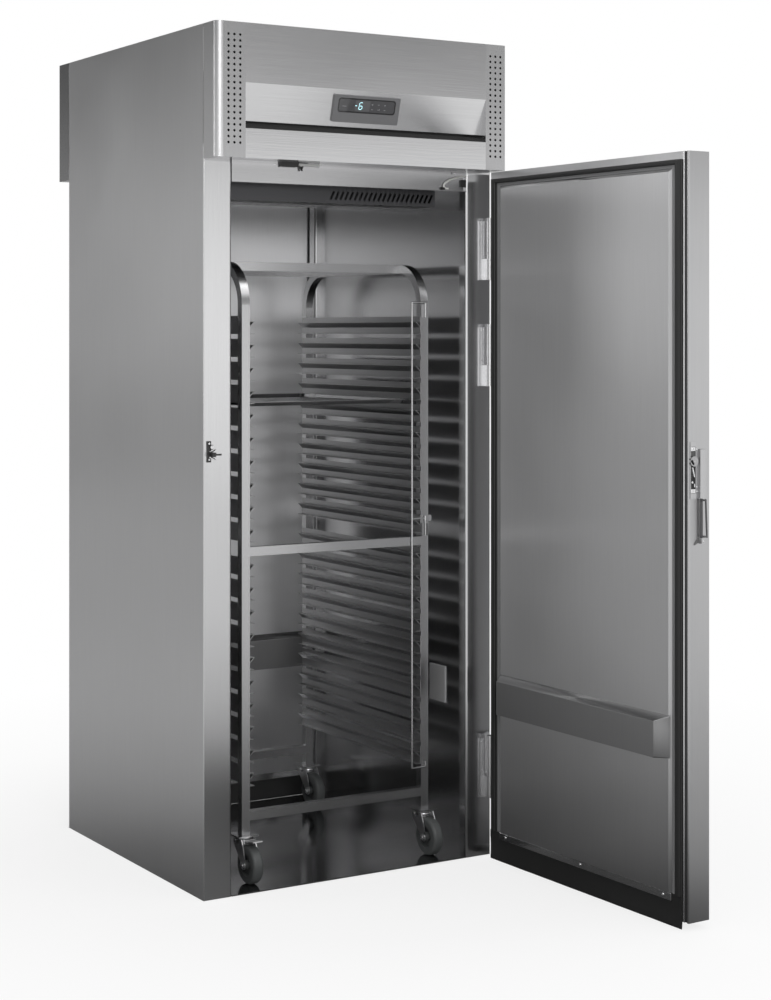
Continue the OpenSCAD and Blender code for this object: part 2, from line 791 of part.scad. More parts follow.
// Frame half of a hinge: leaf on the jamb, base knuckle and pin
module frame_hinge(z) {
    translate([0, 0, z]) {
        block([8, jamb_v, 0], [27, jamb_v + 5, hinge_h - leaf_short]);
        block([-barrel_r, jamb_v, 0], [11, 0, hinge_base_h]);
        cylinder(h = hinge_base_h, r = barrel_r);
        cylinder(h = hinge_h - 6, r = hinge_pin_r);
    }
}

module frame_hinges() {
    color([0.85, 0.85, 0.85]) for (end = ["front", "rear"]) at_door(end, 0) for (z = hinge_z) frame_hinge(z);
}

// Door half of a hinge: knuckle with its bore and the leaf on the slab's edge
module door_hinge(z) {
    z0 = z + hinge_base_h + 0.5;
    z1 = z + hinge_h;
    difference() {
        union() {
            translate([0, 0, z0]) cylinder(h = z1 - z0, r = barrel_r - 1);
            block([4, door_v0 + door_edge_r, z0], [door_u0, 40, z1]);
        }
        translate([0, 0, z0 - 1]) cylinder(h = z1 - z0 + 2, r = hinge_pin_r + run_fit);
    }
}

module door_hinges(end) {
    color([0.85, 0.85, 0.85]) on_door(end) for (z = hinge_z) door_hinge(z);
}

// Insulated slab with rounded upright edges and a groove beside the seal at the free edge, drawn inset by g
module door_plan(g) {
    r = door_edge_r;
    difference() {
        union() {
            translate([door_u0 + g, door_v0 + r]) square([door_u1 - door_u0 - 2 * g, door_t - 2 * r]);
            translate([door_u0 + r, door_v0 + g]) square([door_u1 - door_u0 - 2 * r, door_t - 2 * g]);
            for (u = [door_u0 + r, door_u1 - r]) for (v = [door_v0 + r, door_v1 - r]) translate([u, v]) circle(r - g);
        }
        translate([groove_u0 - g, door_v0 - 1]) square([groove_u1 - groove_u0 + 2 * g, groove_depth + 1 + g]);
    }
}

module door_slab(end) {
    color([0.7, 0.71, 0.72]) on_door(end) difference() {
        translate([0, 0, door_bottom]) linear_extrude(door_top - door_bottom) door_plan(0);
        translate([0, 0, door_bottom + skin_t]) linear_extrude(door_top - door_bottom - 2 * skin_t) door_plan(skin_t);
    }
}

// Raised inner panel with a sloping rim, drawn inset by g
module liner_form(g) {
    v0 = door_v0 + g;
    v1 = door_v0 - liner_rise + g;
    slope = liner_rise;
    intersection() {
        linear_extrude(liner_z1) polygon([[liner_u0 + g, v0], [liner_u0 + g + slope, v1],
            [liner_u1 - g - slope, v1], [liner_u1 - g, v0]]);
        along_x(liner_u0, liner_u1) polygon([[v0, liner_z0 + g], [v1, liner_z0 + g], [v1, liner_z1 - g - slope],
            [v0, liner_z1 - g]]);
    }
}

// Raised inner panel and the steel strip that clamps the sweep, with its screws
module door_liner(end) {
    strip_v = door_v0 - sweep_t;
    color([0.68, 0.69, 0.7]) on_door(end) {
        difference() {
            liner_form(0);
            liner_form(skin_t);
        }
        block([liner_u0, strip_v - 2, sweep_top - strip_h], [liner_u1, strip_v, sweep_top]);
        for (u = [liner_u0 + 30, (liner_u0 + liner_u1) / 2, liner_u1 - 30]) {
            translate([u, strip_v - 2, sweep_top - strip_h / 2]) rotate([90, 0, 0]) cylinder(h = 2, r = 4);
        }
    }
}

// Seal on three sides: flat base and an outer bellows, with the rubber sweep below
module door_seals(end) {
    bellows_v = jamb_v + seal_gap;
    base_v = door_v0 - seal_base_t;
    color([0.1, 0.1, 0.1]) on_door(end) {
        difference() {
            block([seal_u0, base_v, sweep_top], [seal_u1, door_v0, seal_z1]);
            block([liner_u0, base_v - 1, sweep_top - 1], [liner_u1, door_v0 + 1, liner_z1]);
        }
        difference() {
            block([seal_u0, bellows_v, sweep_top], [seal_u1, base_v, seal_z1]);
            block([seal_u0 + bellows_w, bellows_v - 1, sweep_top - 1], [seal_u1 - bellows_w, base_v + 1, seal_z1 - 12]);
        }
        block([seal_u0 - 8, door_v0 - sweep_t, sweep_bottom], [seal_u1, door_v0, sweep_top]);
    }
}

// Folded bumper bar with a sloping top and splayed ends
module bumper_form(g) {
    v0 = door_v0 - liner_rise;
    u0 = liner_u0 + 8;
    u1 = liner_u1 - 2;
    splay = bumper_out * 0.8;
    slope = bumper_h * 0.18;
    intersection() {
        along_x(u0 - 1, u1 + 1) polygon([[v0 + g, bumper_z + g], [v0 - bumper_out + g, bumper_z + g],
            [v0 - bumper_out + g, bumper_z + bumper_h - slope], [v0 + g, bumper_z + bumper_h - g]]);
        linear_extrude(bumper_z + bumper_h + 1) polygon([[u0 + g, v0 + 1], [u0 + g, v0],
            [u0 + splay + g, v0 - bumper_out], [u1 - splay - g, v0 - bumper_out], [u1 - g, v0], [u1 - g, v0 + 1]]);
    }
}

module door_bumper(end) {
    color([0.6, 0.61, 0.62]) on_door(end) difference() {
        bumper_form(0);
        bumper_form(fascia_t);
    }
}

// Fixed half of the handle: lock plate with the claw's stud, housing and lower bracket
module handle_base(end) {
    u = door_u1;
    lever_bore_r = lever_pin_r + run_fit;
    color([0.74, 0.75, 0.76]) on_door(end) {
        difference() {
            block([u, door_v0 + door_edge_r, strike_z - 96], [u + lock_t, door_v0 + 23, strike_z + 49]);
            block([u + 0.8, door_v0 + door_edge_r + 1.5, strike_z - 82], [u + lock_t + 1, door_v0 + 21.5, strike_z + 37]);
        }
        translate([u + 0.5, claw_v, claw_z]) rotate([0, 90, 0]) cylinder(h = lock_t + claw_t + 0.3, r = claw_stud_r);
        difference() {
            union() {
                translate([u, 0, housing_z]) linear_extrude(housing_top - housing_z) polygon([
                    [0, handle_v0], [9, handle_v0], [15, handle_v0 + 7], [15, handle_v1 - 5],
                    [10, handle_v1], [0, handle_v1]]);
                block([u, handle_v0, handle_z], [u + 14, handle_v0 + 12, grip_z - 0.5]);
            }
            translate([lever_u, lever_v, housing_z - 1]) cylinder(h = 13, r = lever_bore_r);
            translate([lever_u, lever_v, grip_z - 12]) cylinder(h = 13, r = lever_bore_r);
        }
    }
}

// Pull grip: two upright bars joined at their ends, on a vertical pin
module handle_grip(end) {
    bar_top = grip_z + grip_l;
    color([0.16, 0.16, 0.17]) on_door(end) translate([lever_u, lever_v, 0]) {
        block([-5, -7, grip_z], [5, 6, bar_top]);
        translate([10, 0, 0]) rotate([90, 0, 90]) linear_extrude(8) {
            polygon([[grip_slant + 8, grip_z], [grip_slant + 14, grip_z], [14, bar_top], [8, bar_top]]);
        }
        for (end_at = [[grip_z, 14 + grip_slant], [bar_top - 12, 14]]) linear_extrude_between(end_at[0], end_at[0] + 12) {
            polygon([[-5, -7], [5, -7], [18, 5], [18, end_at[1]], [10, end_at[1]], [-5, 6]]);
        }
        translate([0, 0, grip_z - 11]) cylinder(h = grip_l + 22, r = lever_pin_r);
    }
}

// Plate between two heights
module linear_extrude_between(z0, z1) {
    translate([0, 0, z0]) linear_extrude(z1 - z0) children();
}

// Turning cam whose curved slot takes the strike pin; it rests unlocked, with the slot's mouth towards the pin
module latch_claw(end) {
    margin = 28;
    a0 = 180 - margin;
    a1 = 180 + claw_turn + margin;
    color([0.3, 0.3, 0.31]) on_door(end) translate([claw_u, claw_v, claw_z]) rotate([90, 0, 90]) linear_extrude(claw_t) {
        difference() {
            circle(claw_r);
            circle(claw_stud_r + run_fit);
            translate([-claw_r - 5, -claw_slot_w / 2]) square([claw_r + 5 - claw_throw, claw_slot_w]);
            intersection() {
                difference() {
                    circle(claw_throw + claw_slot_w / 2);
                    circle(claw_throw - claw_slot_w / 2);
                }
                polygon([[0, 0], 30 * [cos(a0), sin(a0)], 40 * [cos((a0 + a1) / 2), sin((a0 + a1) / 2)],
                    30 * [cos(a1), sin(a1)]]);
            }
        }
    }
}

// Small steel pad on the right inner wall
module wall_pad() {
    color([0.66, 0.67, 0.68]) block([inner_x - 3, pad_y, pad_z], [inner_x, pad_y + 84, pad_z + 107]);
}

// Places children on the parked trolley
module parked() {
    translate([park_x, park_y, 0]) children();
}

// Section of the square tube
module tube_section() {
    difference() {
        square(tube_w, center = true);
        square(tube_w - 2 * tube_t, center = true);
    }
}

// Inverted U of bent tube in the depth direction, with foot plates
module side_frame() {
    top_z = trolley_h - tube_w / 2;
    bend_z = top_z - bend_r;
    bend_y = post_y - bend_r;
    for (y = [-post_y, post_y]) {
        translate([0, y, post_z]) linear_extrude(bend_z - post_z) tube_section();
        translate([-foot_plate_w / 2, y - foot_plate_w / 2, post_z - foot_plate_t])
            cube([foot_plate_w, foot_plate_w, foot_plate_t]);
    }
    translate([0, -bend_y, top_z]) rotate([-90, 0, 0]) linear_extrude(2 * bend_y) tube_section();
    for (turn = [0, 180]) rotate([0, 0, turn]) {
        translate([0, bend_y, bend_z]) rotate([90, 0, 90]) rotate_extrude(angle = 90) translate([bend_r, 0]) tube_section();
    }
}

// Sleeve on a front post in which the stop rod turns
module rod_eye(z0, z1) {
    eye_r = rod_r + 2;
    difference() {
        union() {
            translate([0, rod_y, z0]) cylinder(h = z1 - z0, r = eye_r);
            block([-eye_r, rod_y, z0], [eye_r, -trolley_d / 2, z1]);
        }
        translate([0, rod_y, z0 - 1]) cylinder(h = z1 - z0 + 2, r = rod_r + run_fit);
    }
}

module trolley_side_frames() {
    color([0.7, 0.71, 0.72]) parked() {
        for (x = [-post_x, post_x]) translate([x, 0, 0]) side_frame();
        translate([post_x, 0, 0]) {
            rod_eye(rod_top - eye_h, rod_top);
            rod_eye(rod_bottom - 14, rod_bottom);
        }
    }
}

// Wire rod that keeps the trays in; it turns in its two sleeves
module stop_rod() {
    high = rod_top + body_gap + rod_r;
    low = rod_bottom - 14 - body_gap - rod_r;
    color([0.75, 0.76, 0.77]) parked() translate([post_x, rod_y, 0]) {
        translate([0, 0, rod_top - eye_h + 4]) cylinder(h = high - rod_top + eye_h - 4, r = rod_r, $fn = 24);
        translate([0, 0, low]) cylinder(h = 16, r = rod_r, $fn = 24);
        translate([-rod_reach, 0, low]) cylinder(h = high - low, r = rod_r, $fn = 24);
        for (z = [low, high]) translate([-rod_reach, 0, z]) rotate([0, 90, 0]) cylinder(h = rod_reach, r = rod_r, $fn = 24);
        for (x = [0, -rod_reach]) for (z = [low, high]) translate([x, 0, z]) sphere(rod_r, $fn = 24);
    }
}

// Crossbars: two at the top, one between the runner blocks, two near the feet
module trolley_crossbars() {
    mid_z = ledge_top_z - (levels - 1) * level_pitch - ledge_drop - 25;
    top_y = post_y - bend_r;
    low_z = post_z + 50;
    color([0.72, 0.73, 0.74]) parked() {
        for (at = [[-top_y, trolley_h - tube_w / 2], [top_y, trolley_h - tube_w / 2], [-post_y, mid_z],
            [-post_y, low_z], [post_y, low_z]]) {
            translate([-web_x, at[0], at[1]]) rotate([90, 0, 90]) linear_extrude(2 * web_x) tube_section();
        }
    }
}

// Folded runner drawn with its web on x = 0 and its ledges towards -X; bead top on z = 0
module runner_section() {
    t = runner_t;
    translate([-t, -ledge_drop - t]) square([t, ledge_drop + t + web_rise]);
    translate([-ledge_w, -ledge_drop - t]) square([ledge_w, t]);
    difference() {
        polygon([[-t, 0], [-ledge_w, 0], [-ledge_w, -t], [-t, -ledge_w]]);
        polygon([[-t, -t], [-ledge_w + 2.4 * t, -t], [-t, -ledge_w + 2.4 * t]]);
    }
}

// Height of the bead top of a level, in the upper or the lower block
function level_z(block, i) = ledge_top_z - (block * levels + i) * level_pitch - block * block_gap;

module runners() {
    for (b = [0, 1]) for (i = [0:levels - 1]) {
        translate([web_x, trolley_d / 2 - 2, level_z(b, i)]) rotate([90, 0, 0])
            linear_extrude(trolley_d - 4) runner_section();
    }
}

module left_runners() {
    color([0.66, 0.67, 0.68]) parked() mirror([1, 0, 0]) runners();
}

module right_runners() {
    color([0.66, 0.67, 0.68]) parked() runners();
}

// Pan that hangs by its rim on the runners' ledges
module serving_tray() {
    rim_x = web_x - runner_t - tray_clear;
    pan_x = web_x - ledge_w - tray_clear;
    rim_y0 = -trolley_d / 2 + 32;
    rim_y1 = trolley_d / 2 - 28;
    t = 1.2;
    color([0.8, 0.8, 0.81]) parked() translate([0, 0, tray_z]) difference() {
        union() {
            block([-rim_x, rim_y0, 0], [rim_x, rim_y1, t]);
            block([-pan_x, rim_y0 + 12, -tray_depth], [pan_x, rim_y1 - 12, 0]);
        }
        block([-pan_x + t, rim_y0 + 12 + t, -tray_depth + t], [pan_x - t, rim_y1 - 12 - t, t + 1]);
    }
}

// Places children at the swivel axis of caster 1 to 4
module at_caster(i) {
    parked() translate([corners[i - 1][0] * post_x, corners[i - 1][1] * post_y, 0]) children();
}

// Swivel head, two legs raked back to the axle, and the axle
module caster_fork(i) {
    leg_t = 3;
    leg_x = wheel_w / 2 + 3;
    boss_r = 12;
    head_top = fork_z + head_h;
    color([0.75, 0.76, 0.77]) at_caster(i) {
        translate([0, 0, fork_z]) cylinder(h = head_h, r = 24);
        for (x = [-leg_x - leg_t, leg_x]) translate([x, 0, 0]) rotate([90, 0, 90]) linear_extrude(leg_t) {
            polygon([[-26, head_top - 4], [20, head_top - 4], [20, fork_z - 6], [-caster_trail + boss_r, axle_z],
                [-caster_trail - boss_r, axle_z], [-caster_trail + 1, fork_z - 12]]);
            translate([-caster_trail, axle_z]) circle(boss_r);
        }
        block([-leg_x - leg_t, -20, fork_z], [leg_x + leg_t, 14, fork_z + 4]);
        translate([-leg_x - leg_t - 5, -caster_trail, axle_z]) rotate([0, 90, 0])
            cylinder(h = 2 * (leg_x + leg_t + 5), r = axle_r);
        for (x = [-leg_x - leg_t - 5, leg_x + leg_t]) translate([x, -caster_trail, axle_z]) rotate([0, 90, 0])
            cylinder(h = 5, r = 8, $fn = 6);
        if (i == 1) difference() {
            for (x = [-pedal_w / 2 - 2.5, pedal_w / 2 + 0.5]) block([x, pedal_y - 5, fork_z + 1], [x + 2, -12, fork_z + 13]);
            translate([-pedal_w, pedal_y, pedal_z]) rotate([0, 90, 0]) cylinder(h = 2 * pedal_w, r = 3 + run_fit);
        }
    }
}

// Wheel with a rounded tread, recessed disc and hub
module caster_wheel(i) {
    half = wheel_w / 2;
    hub_half = half + 2.5;
    tread_r = 9;
    color([0.4, 0.4, 0.41]) at_caster(i) translate([0, -caster_trail, axle_z]) rotate([0, 90, 0]) rotate_extrude() {
        translate([axle_r + run_fit, -hub_half]) square([8, 2 * hub_half]);
        translate([axle_r + run_fit, -5]) square([wheel_r - axle_r - 12, 10]);
        translate([wheel_r - 22, -half]) square([22 - tread_r, wheel_w]);
        translate([wheel_r - tread_r - 1, -half + tread_r]) square([tread_r + 1, wheel_w - 2 * tread_r]);
        for (y = [-half + tread_r, half - tread_r]) translate([wheel_r - tread_r, y]) circle(tread_r);
    }
}

// Brake pedal over the front left wheel, on a pin between the fork's lugs
module brake_pedal() {
    color([0.8, 0.8, 0.81]) at_caster(1) translate([0, pedal_y, pedal_z]) {
        translate([-pedal_w / 2 - 2.5, 0, 0]) rotate([0, 90, 0]) cylinder(h = pedal_w + 5, r = 3);
        translate([-pedal_w / 2, 0, 0]) rotate([90, 0, 90]) linear_extrude(pedal_w) {
            circle(4);
            rotate(-8) translate([-52, -1]) square([52, 3]);
        }
    }
}

left_wall();
right_wall();
chamber_roof();
floor_pan();
lintels();
front_fascia();
rear_fascia();
grille_panels();
control_bezel();
display_window();
air_duct();
evaporator_box();
evaporator_coil();
evaporator_fan();
fan_motors();
compressor();
condenser_coil();
condenser_fan();
condenser_shroud();
pipework();
electrical_box();
unit_base();
heater_lead();
cable_glands();
door_switch();
switch_lever();
latch_strikes();
frame_hinges();
wall_pad();
door_slab("front");  // front_door_slab
door_liner("front");  // front_door_liner
door_seals("front");  // front_door_seals
door_bumper("front");  // front_door_bumper
door_hinges("front");  // front_door_hinges
handle_base("front");  // front_handle_base
handle_grip("front");  // front_handle_grip
latch_claw("front");  // front_latch_claw
door_slab("rear");  // rear_door_slab
door_liner("rear");  // rear_door_liner
door_seals("rear");  // rear_door_seals
door_bumper("rear");  // rear_door_bumper
door_hinges("rear");  // rear_door_hinges
handle_base("rear");  // rear_handle_base
handle_grip("rear");  // rear_handle_grip
latch_claw("rear");  // rear_latch_claw
trolley_side_frames();
trolley_crossbars();
left_runners();
right_runners();
serving_tray();
stop_rod();
caster_fork(1);  // caster_fork_1
caster_fork(2);  // caster_fork_2
caster_fork(3);  // caster_fork_3
caster_fork(4);  // caster_fork_4
caster_wheel(1);  // caster_wheel_1
caster_wheel(2);  // caster_wheel_2
caster_wheel(3);  // caster_wheel_3
caster_wheel(4);  // caster_wheel_4
brake_pedal();
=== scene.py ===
import bpy
import bmesh
import math
import numpy as np
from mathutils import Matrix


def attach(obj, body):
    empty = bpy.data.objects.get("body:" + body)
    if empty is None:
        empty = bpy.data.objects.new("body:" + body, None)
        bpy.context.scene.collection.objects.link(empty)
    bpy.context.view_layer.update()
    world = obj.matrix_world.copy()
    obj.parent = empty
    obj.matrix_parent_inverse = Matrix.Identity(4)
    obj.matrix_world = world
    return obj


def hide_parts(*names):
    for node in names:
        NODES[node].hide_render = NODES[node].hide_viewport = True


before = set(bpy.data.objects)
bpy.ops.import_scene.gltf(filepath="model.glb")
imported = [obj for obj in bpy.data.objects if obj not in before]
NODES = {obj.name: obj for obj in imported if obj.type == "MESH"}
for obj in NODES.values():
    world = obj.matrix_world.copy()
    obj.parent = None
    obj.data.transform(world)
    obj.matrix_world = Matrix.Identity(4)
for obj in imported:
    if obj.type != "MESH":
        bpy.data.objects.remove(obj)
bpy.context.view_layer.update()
scene = bpy.context.scene
scene.view_settings.view_transform = "Standard"

# Camera: stands at the front left, at eye height, looking level; its shift frames the cabinet as a view
# camera does, so that the upright edges stay parallel.
camera_data = bpy.data.cameras.new("camera")
camera_data.sensor_width = 36.0
camera_data.lens = 71.86
camera_data.shift_y = -0.1689
camera_data.clip_end = 60.0
camera = bpy.data.objects.new("camera", camera_data)
camera.location = (-2.841, -5.275, 1.526)
camera.rotation_euler = (math.radians(90), 0, math.radians(-31.5))
scene.collection.objects.link(camera)
scene.camera = camera


# Studio surround: white to the camera; what the steel reflects is graded by height, with a dim belt above
# eye level and a dimmer half behind the cabinet.
def math_node(t, kind, *values):
    """Output of a math node of this kind in node tree t; each value is a socket to link or a float."""
    node = t.nodes.new("ShaderNodeMath")
    node.operation = kind
    for socket, value in zip(node.inputs, values):
        if isinstance(value, float):
            socket.default_value = value
        else:
            t.links.new(value, socket)
    return node.outputs[0]


world = bpy.data.worlds.new("studio")
scene.world = world
world.use_nodes = True
tree = world.node_tree
tree.nodes.clear()
world_out = tree.nodes.new("ShaderNodeOutputWorld")
seen = tree.nodes.new("ShaderNodeBackground")
seen.inputs["Color"].default_value = (1, 1, 1, 1)
around = tree.nodes.new("ShaderNodeBackground")
direction = tree.nodes.new("ShaderNodeTexCoord")
split = tree.nodes.new("ShaderNodeSeparateXYZ")
tree.links.new(direction.outputs["Generated"], split.inputs[0])
height = tree.nodes.new("ShaderNodeValToRGB")
height.color_ramp.elements[0].color = (0.30, 0.30, 0.30, 1)
height.color_ramp.elements[1].color = (0.50, 0.50, 0.50, 1)
for place, grey in (
        (0.44, 0.95), (0.507, 1.15), (0.535, 0.98), (0.548, 0.66), (0.558, 0.24),
        (0.62, 0.14), (0.68, 0.55), (0.73, 1.35), (0.79, 1.35), (0.84, 0.90)):
    height.color_ramp.elements.new(place).color = (grey, grey, grey, 1)
tree.links.new(math_node(tree, "MULTIPLY_ADD", split.outputs["Z"], 0.5, 0.5), height.inputs["Fac"])
back = tree.nodes.new("ShaderNodeMapRange")
back.inputs["From Min"].default_value = -0.6
back.inputs["From Max"].default_value = 0.5
back.inputs["To Min"].default_value = 1.2
back.inputs["To Max"].default_value = 0.33
tree.links.new(split.outputs["Y"], back.inputs["Value"])
shade = tree.nodes.new("ShaderNodeVectorMath")
shade.operation = "SCALE"
tree.links.new(height.outputs["Color"], shade.inputs[0])
tree.links.new(back.outputs["Result"], shade.inputs["Scale"])
tree.links.new(shade.outputs[0], around.inputs["Color"])
path = tree.nodes.new("ShaderNodeLightPath")
mix = tree.nodes.new("ShaderNodeMixShader")
tree.links.new(path.outputs["Is Camera Ray"], mix.inputs["Fac"])
tree.links.new(around.outputs[0], mix.inputs[1])
tree.links.new(seen.outputs[0], mix.inputs[2])
tree.links.new(mix.outputs[0], world_out.inputs["Surface"])


def soft_lamp(name, place, aim, size, power):
    """An area lamp at place, facing aim."""
    data = bpy.data.lights.new(name, "AREA")
    data.shape = "RECTANGLE"
    data.size, data.size_y = size
    data.energy = power
    lamp = bpy.data.objects.new(name, data)
    lamp.location = place
    offset = [a - b for a, b in zip(aim, place)]
    tilt = math.acos(-offset[2] / math.dist(aim, place))
    lamp.rotation_euler = (tilt, 0, math.atan2(offset[1], offset[0]) - math.pi / 2)
    scene.collection.objects.link(lamp)


soft_lamp("key_lamp", (-1.2, -5.2, 3.6), (0.1, -0.4, 1.2), (2.6, 2.6), 55)
soft_lamp("top_lamp", (1.0, -0.6, 4.6), (0.1, -0.2, 1.0), (3.8, 3.4), 65)
soft_lamp("side_lamp", (-4.5, 1.9, 2.2), (0.4, -1.0, 1.6), (1.0, 1.8), 17)

# Floor: pale and matt, white far off, with the soft shadow of the cabinet round its foot and none of its
# glow right under the cabinet. In front of the doorway the floor is painted dark for all but camera rays, as
# painted shade that the steel reflects.
FLOOR_REACH, FLOOR_POINTS, FLOOR_DROP = 14, 9, 0.0005
grid = np.linspace(-FLOOR_REACH, FLOOR_REACH, FLOOR_POINTS)
gx, gy = np.meshgrid(grid, grid)
ground = np.stack([gx.ravel(), gy.ravel(), np.full(gx.size, -FLOOR_DROP)], 1)
index = np.arange(gx.size).reshape(gx.shape)
quads = np.stack([index[:-1, :-1], index[:-1, 1:], index[1:, 1:], index[1:, :-1]], -1).reshape(-1, 4)
floor_mesh = bpy.data.meshes.new("floor")
floor_mesh.from_pydata(ground.tolist(), [], quads.tolist())
floor = bpy.data.objects.new("floor", floor_mesh)
scene.collection.objects.link(floor)
floor_look = bpy.data.materials.new("floor")
floor_look.use_nodes = True
ft = floor_look.node_tree
floor_bsdf = ft.nodes["Principled BSDF"]
floor_bsdf.inputs["Roughness"].default_value = 0.9
floor_place = ft.nodes.new("ShaderNodeTexCoord")


def floor_ramp(centre, scale, stops):
    """Grey level on the floor by distance from centre, as stops of (distance / scale, level)."""
    away = ft.nodes.new("ShaderNodeVectorMath")
    away.operation = "DISTANCE"
    away.inputs[1].default_value = centre
    ramp = ft.nodes.new("ShaderNodeValToRGB")
    for element, (place, grey) in zip(ramp.color_ramp.elements, (stops[0], stops[-1])):
        element.position = place
        element.color = (grey, grey, grey, 1)
    for place, grey in stops[1:-1]:
        ramp.color_ramp.elements.new(place).color = (grey, grey, grey, 1)
    ft.links.new(floor_place.outputs["Object"], away.inputs[0])
    ft.links.new(math_node(ft, "DIVIDE", away.outputs["Value"], scale), ramp.inputs["Fac"])
    return ramp.outputs["Color"]


# Painted shade: the floor's colour that the steel reflects, darkest in front of the doorway.
reflected_floor_shade = floor_ramp((-0.45, -1.1, 0), 10.0, [
    (0.04, 0.03), (0.08, 0.05), (0.12, 0.20), (0.16, 0.46), (0.22, 0.60), (0.34, 0.72), (1.0, 0.86)])
floor_white = floor_ramp((0.1, -0.3, 0), 6.0, [(0.13, 0.76), (0.30, 0.92), (0.50, 1.0)])
floor_glow = floor_ramp((1.5, -1.2, 0), 10.0, [(0.13, 0.0), (0.19, 0.25), (0.42, 1.0)])
floor_path = ft.nodes.new("ShaderNodeLightPath")
pale = ft.nodes.new("ShaderNodeMix")
pale.data_type = "RGBA"
pale.inputs["B"].default_value = (0.86, 0.86, 0.86, 1)
ft.links.new(reflected_floor_shade, pale.inputs["A"])
ft.links.new(floor_path.outputs["Is Camera Ray"], pale.inputs["Factor"])
ft.links.new(pale.outputs["Result"], floor_bsdf.inputs["Base Color"])
floor_split = ft.nodes.new("ShaderNodeSeparateXYZ")
ft.links.new(floor_place.outputs["Object"], floor_split.inputs[0])
ahead = ft.nodes.new("ShaderNodeMapRange")
ahead.inputs["From Min"].default_value = -2.5
ahead.inputs["From Max"].default_value = 0.5
ahead.inputs["To Min"].default_value = 1.0
ahead.inputs["To Max"].default_value = 0.0
ft.links.new(floor_split.outputs["Y"], ahead.inputs["Value"])
SHADE_X, SHADE_Y, SHADE_MID_Y = 0.464, 0.47, 0.005
off_mid = math_node(ft, "SUBTRACT", floor_split.outputs["Y"], SHADE_MID_Y)
shade_x = math_node(ft, "LESS_THAN", math_node(ft, "ABSOLUTE", floor_split.outputs["X"]), SHADE_X)
shade_y = math_node(ft, "LESS_THAN", math_node(ft, "ABSOLUTE", off_mid), SHADE_Y)
in_shade = math_node(ft, "MULTIPLY", shade_x, shade_y)
open_floor = math_node(ft, "MULTIPLY", floor_white, math_node(ft, "SUBTRACT", 1.0, in_shade))
lit = math_node(ft, "MULTIPLY", floor_path.outputs["Is Camera Ray"], open_floor)
glow_ahead = math_node(ft, "MULTIPLY", floor_glow, ahead.outputs["Result"])
mirrored = math_node(ft, "MULTIPLY", floor_path.outputs["Is Glossy Ray"], glow_ahead)
white = ft.nodes.new("ShaderNodeEmission")
white.inputs["Strength"].default_value = 1.0
floor_mix = ft.nodes.new("ShaderNodeMixShader")
ft.links.new(math_node(ft, "ADD", lit, mirrored), floor_mix.inputs["Fac"])
ft.links.new(floor_bsdf.outputs[0], floor_mix.inputs[1])
ft.links.new(white.outputs[0], floor_mix.inputs[2])
ft.links.new(floor_mix.outputs[0], ft.nodes["Material Output"].inputs["Surface"])
floor_mesh.materials.append(floor_look)


# Cabinet shell: insulated panels skinned in brushed stainless sheet, grain upright, jambs folded in one
# with the sides. The sheet shows fine drawn lines and cloudy wiping marks, and is glossier towards the
# chamber than outside.
def brushed_group():
    """Node group: drawn lines from noise stretched along one axis, and clouds from broad noise.
    Colour = Tint * (1 + (lines - 0.5) * Contrast); Roughness = Rough + (clouds - 0.5) * Smudge;
    Height = lines."""
    group = bpy.data.node_groups.new("brushed sheet", "ShaderNodeTree")
    face = group.interface
    face.new_socket("Stretch", in_out="INPUT", socket_type="NodeSocketVector")
    face.new_socket("Tint", in_out="INPUT", socket_type="NodeSocketColor")
    for name in ("Contrast", "Rough", "Smudge"):
        face.new_socket(name, in_out="INPUT", socket_type="NodeSocketFloat")
    face.new_socket("Colour", in_out="OUTPUT", socket_type="NodeSocketColor")
    for name in ("Roughness", "Height"):
        face.new_socket(name, in_out="OUTPUT", socket_type="NodeSocketFloat")
    nodes, links = group.nodes, group.links
    inside, outside = nodes.new("NodeGroupInput"), nodes.new("NodeGroupOutput")
    place = nodes.new("ShaderNodeTexCoord")
    stretch = nodes.new("ShaderNodeVectorMath")
    stretch.operation = "MULTIPLY"
    links.new(place.outputs["Object"], stretch.inputs[0])
    links.new(inside.outputs["Stretch"], stretch.inputs[1])
    fine = nodes.new("ShaderNodeTexNoise")
    fine.inputs["Scale"].default_value = 1.0
    fine.inputs["Detail"].default_value = 4.0
    fine.inputs["Roughness"].default_value = 0.65
    links.new(stretch.outputs[0], fine.inputs["Vector"])
    cloud = nodes.new("ShaderNodeTexNoise")
    cloud.inputs["Scale"].default_value = 2.3
    cloud.inputs["Detail"].default_value = 3.0
    links.new(place.outputs["Object"], cloud.inputs["Vector"])
    lines = math_node(group, "SUBTRACT", fine.outputs["Fac"], 0.5)
    amount = math_node(group, "MULTIPLY_ADD", lines, inside.outputs["Contrast"], 1.0)
    colour = nodes.new("ShaderNodeVectorMath")
    colour.operation = "SCALE"
    links.new(inside.outputs["Tint"], colour.inputs[0])
    links.new(amount, colour.inputs["Scale"])
    wiped = math_node(group, "SUBTRACT", cloud.outputs["Fac"], 0.5)
    rough = math_node(group, "MULTIPLY_ADD", wiped, inside.outputs["Smudge"], inside.outputs["Rough"])
    links.new(colour.outputs[0], outside.inputs["Colour"])
    links.new(rough, outside.inputs["Roughness"])
    links.new(fine.outputs["Fac"], outside.inputs["Height"])
    return group


BRUSHED = brushed_group()


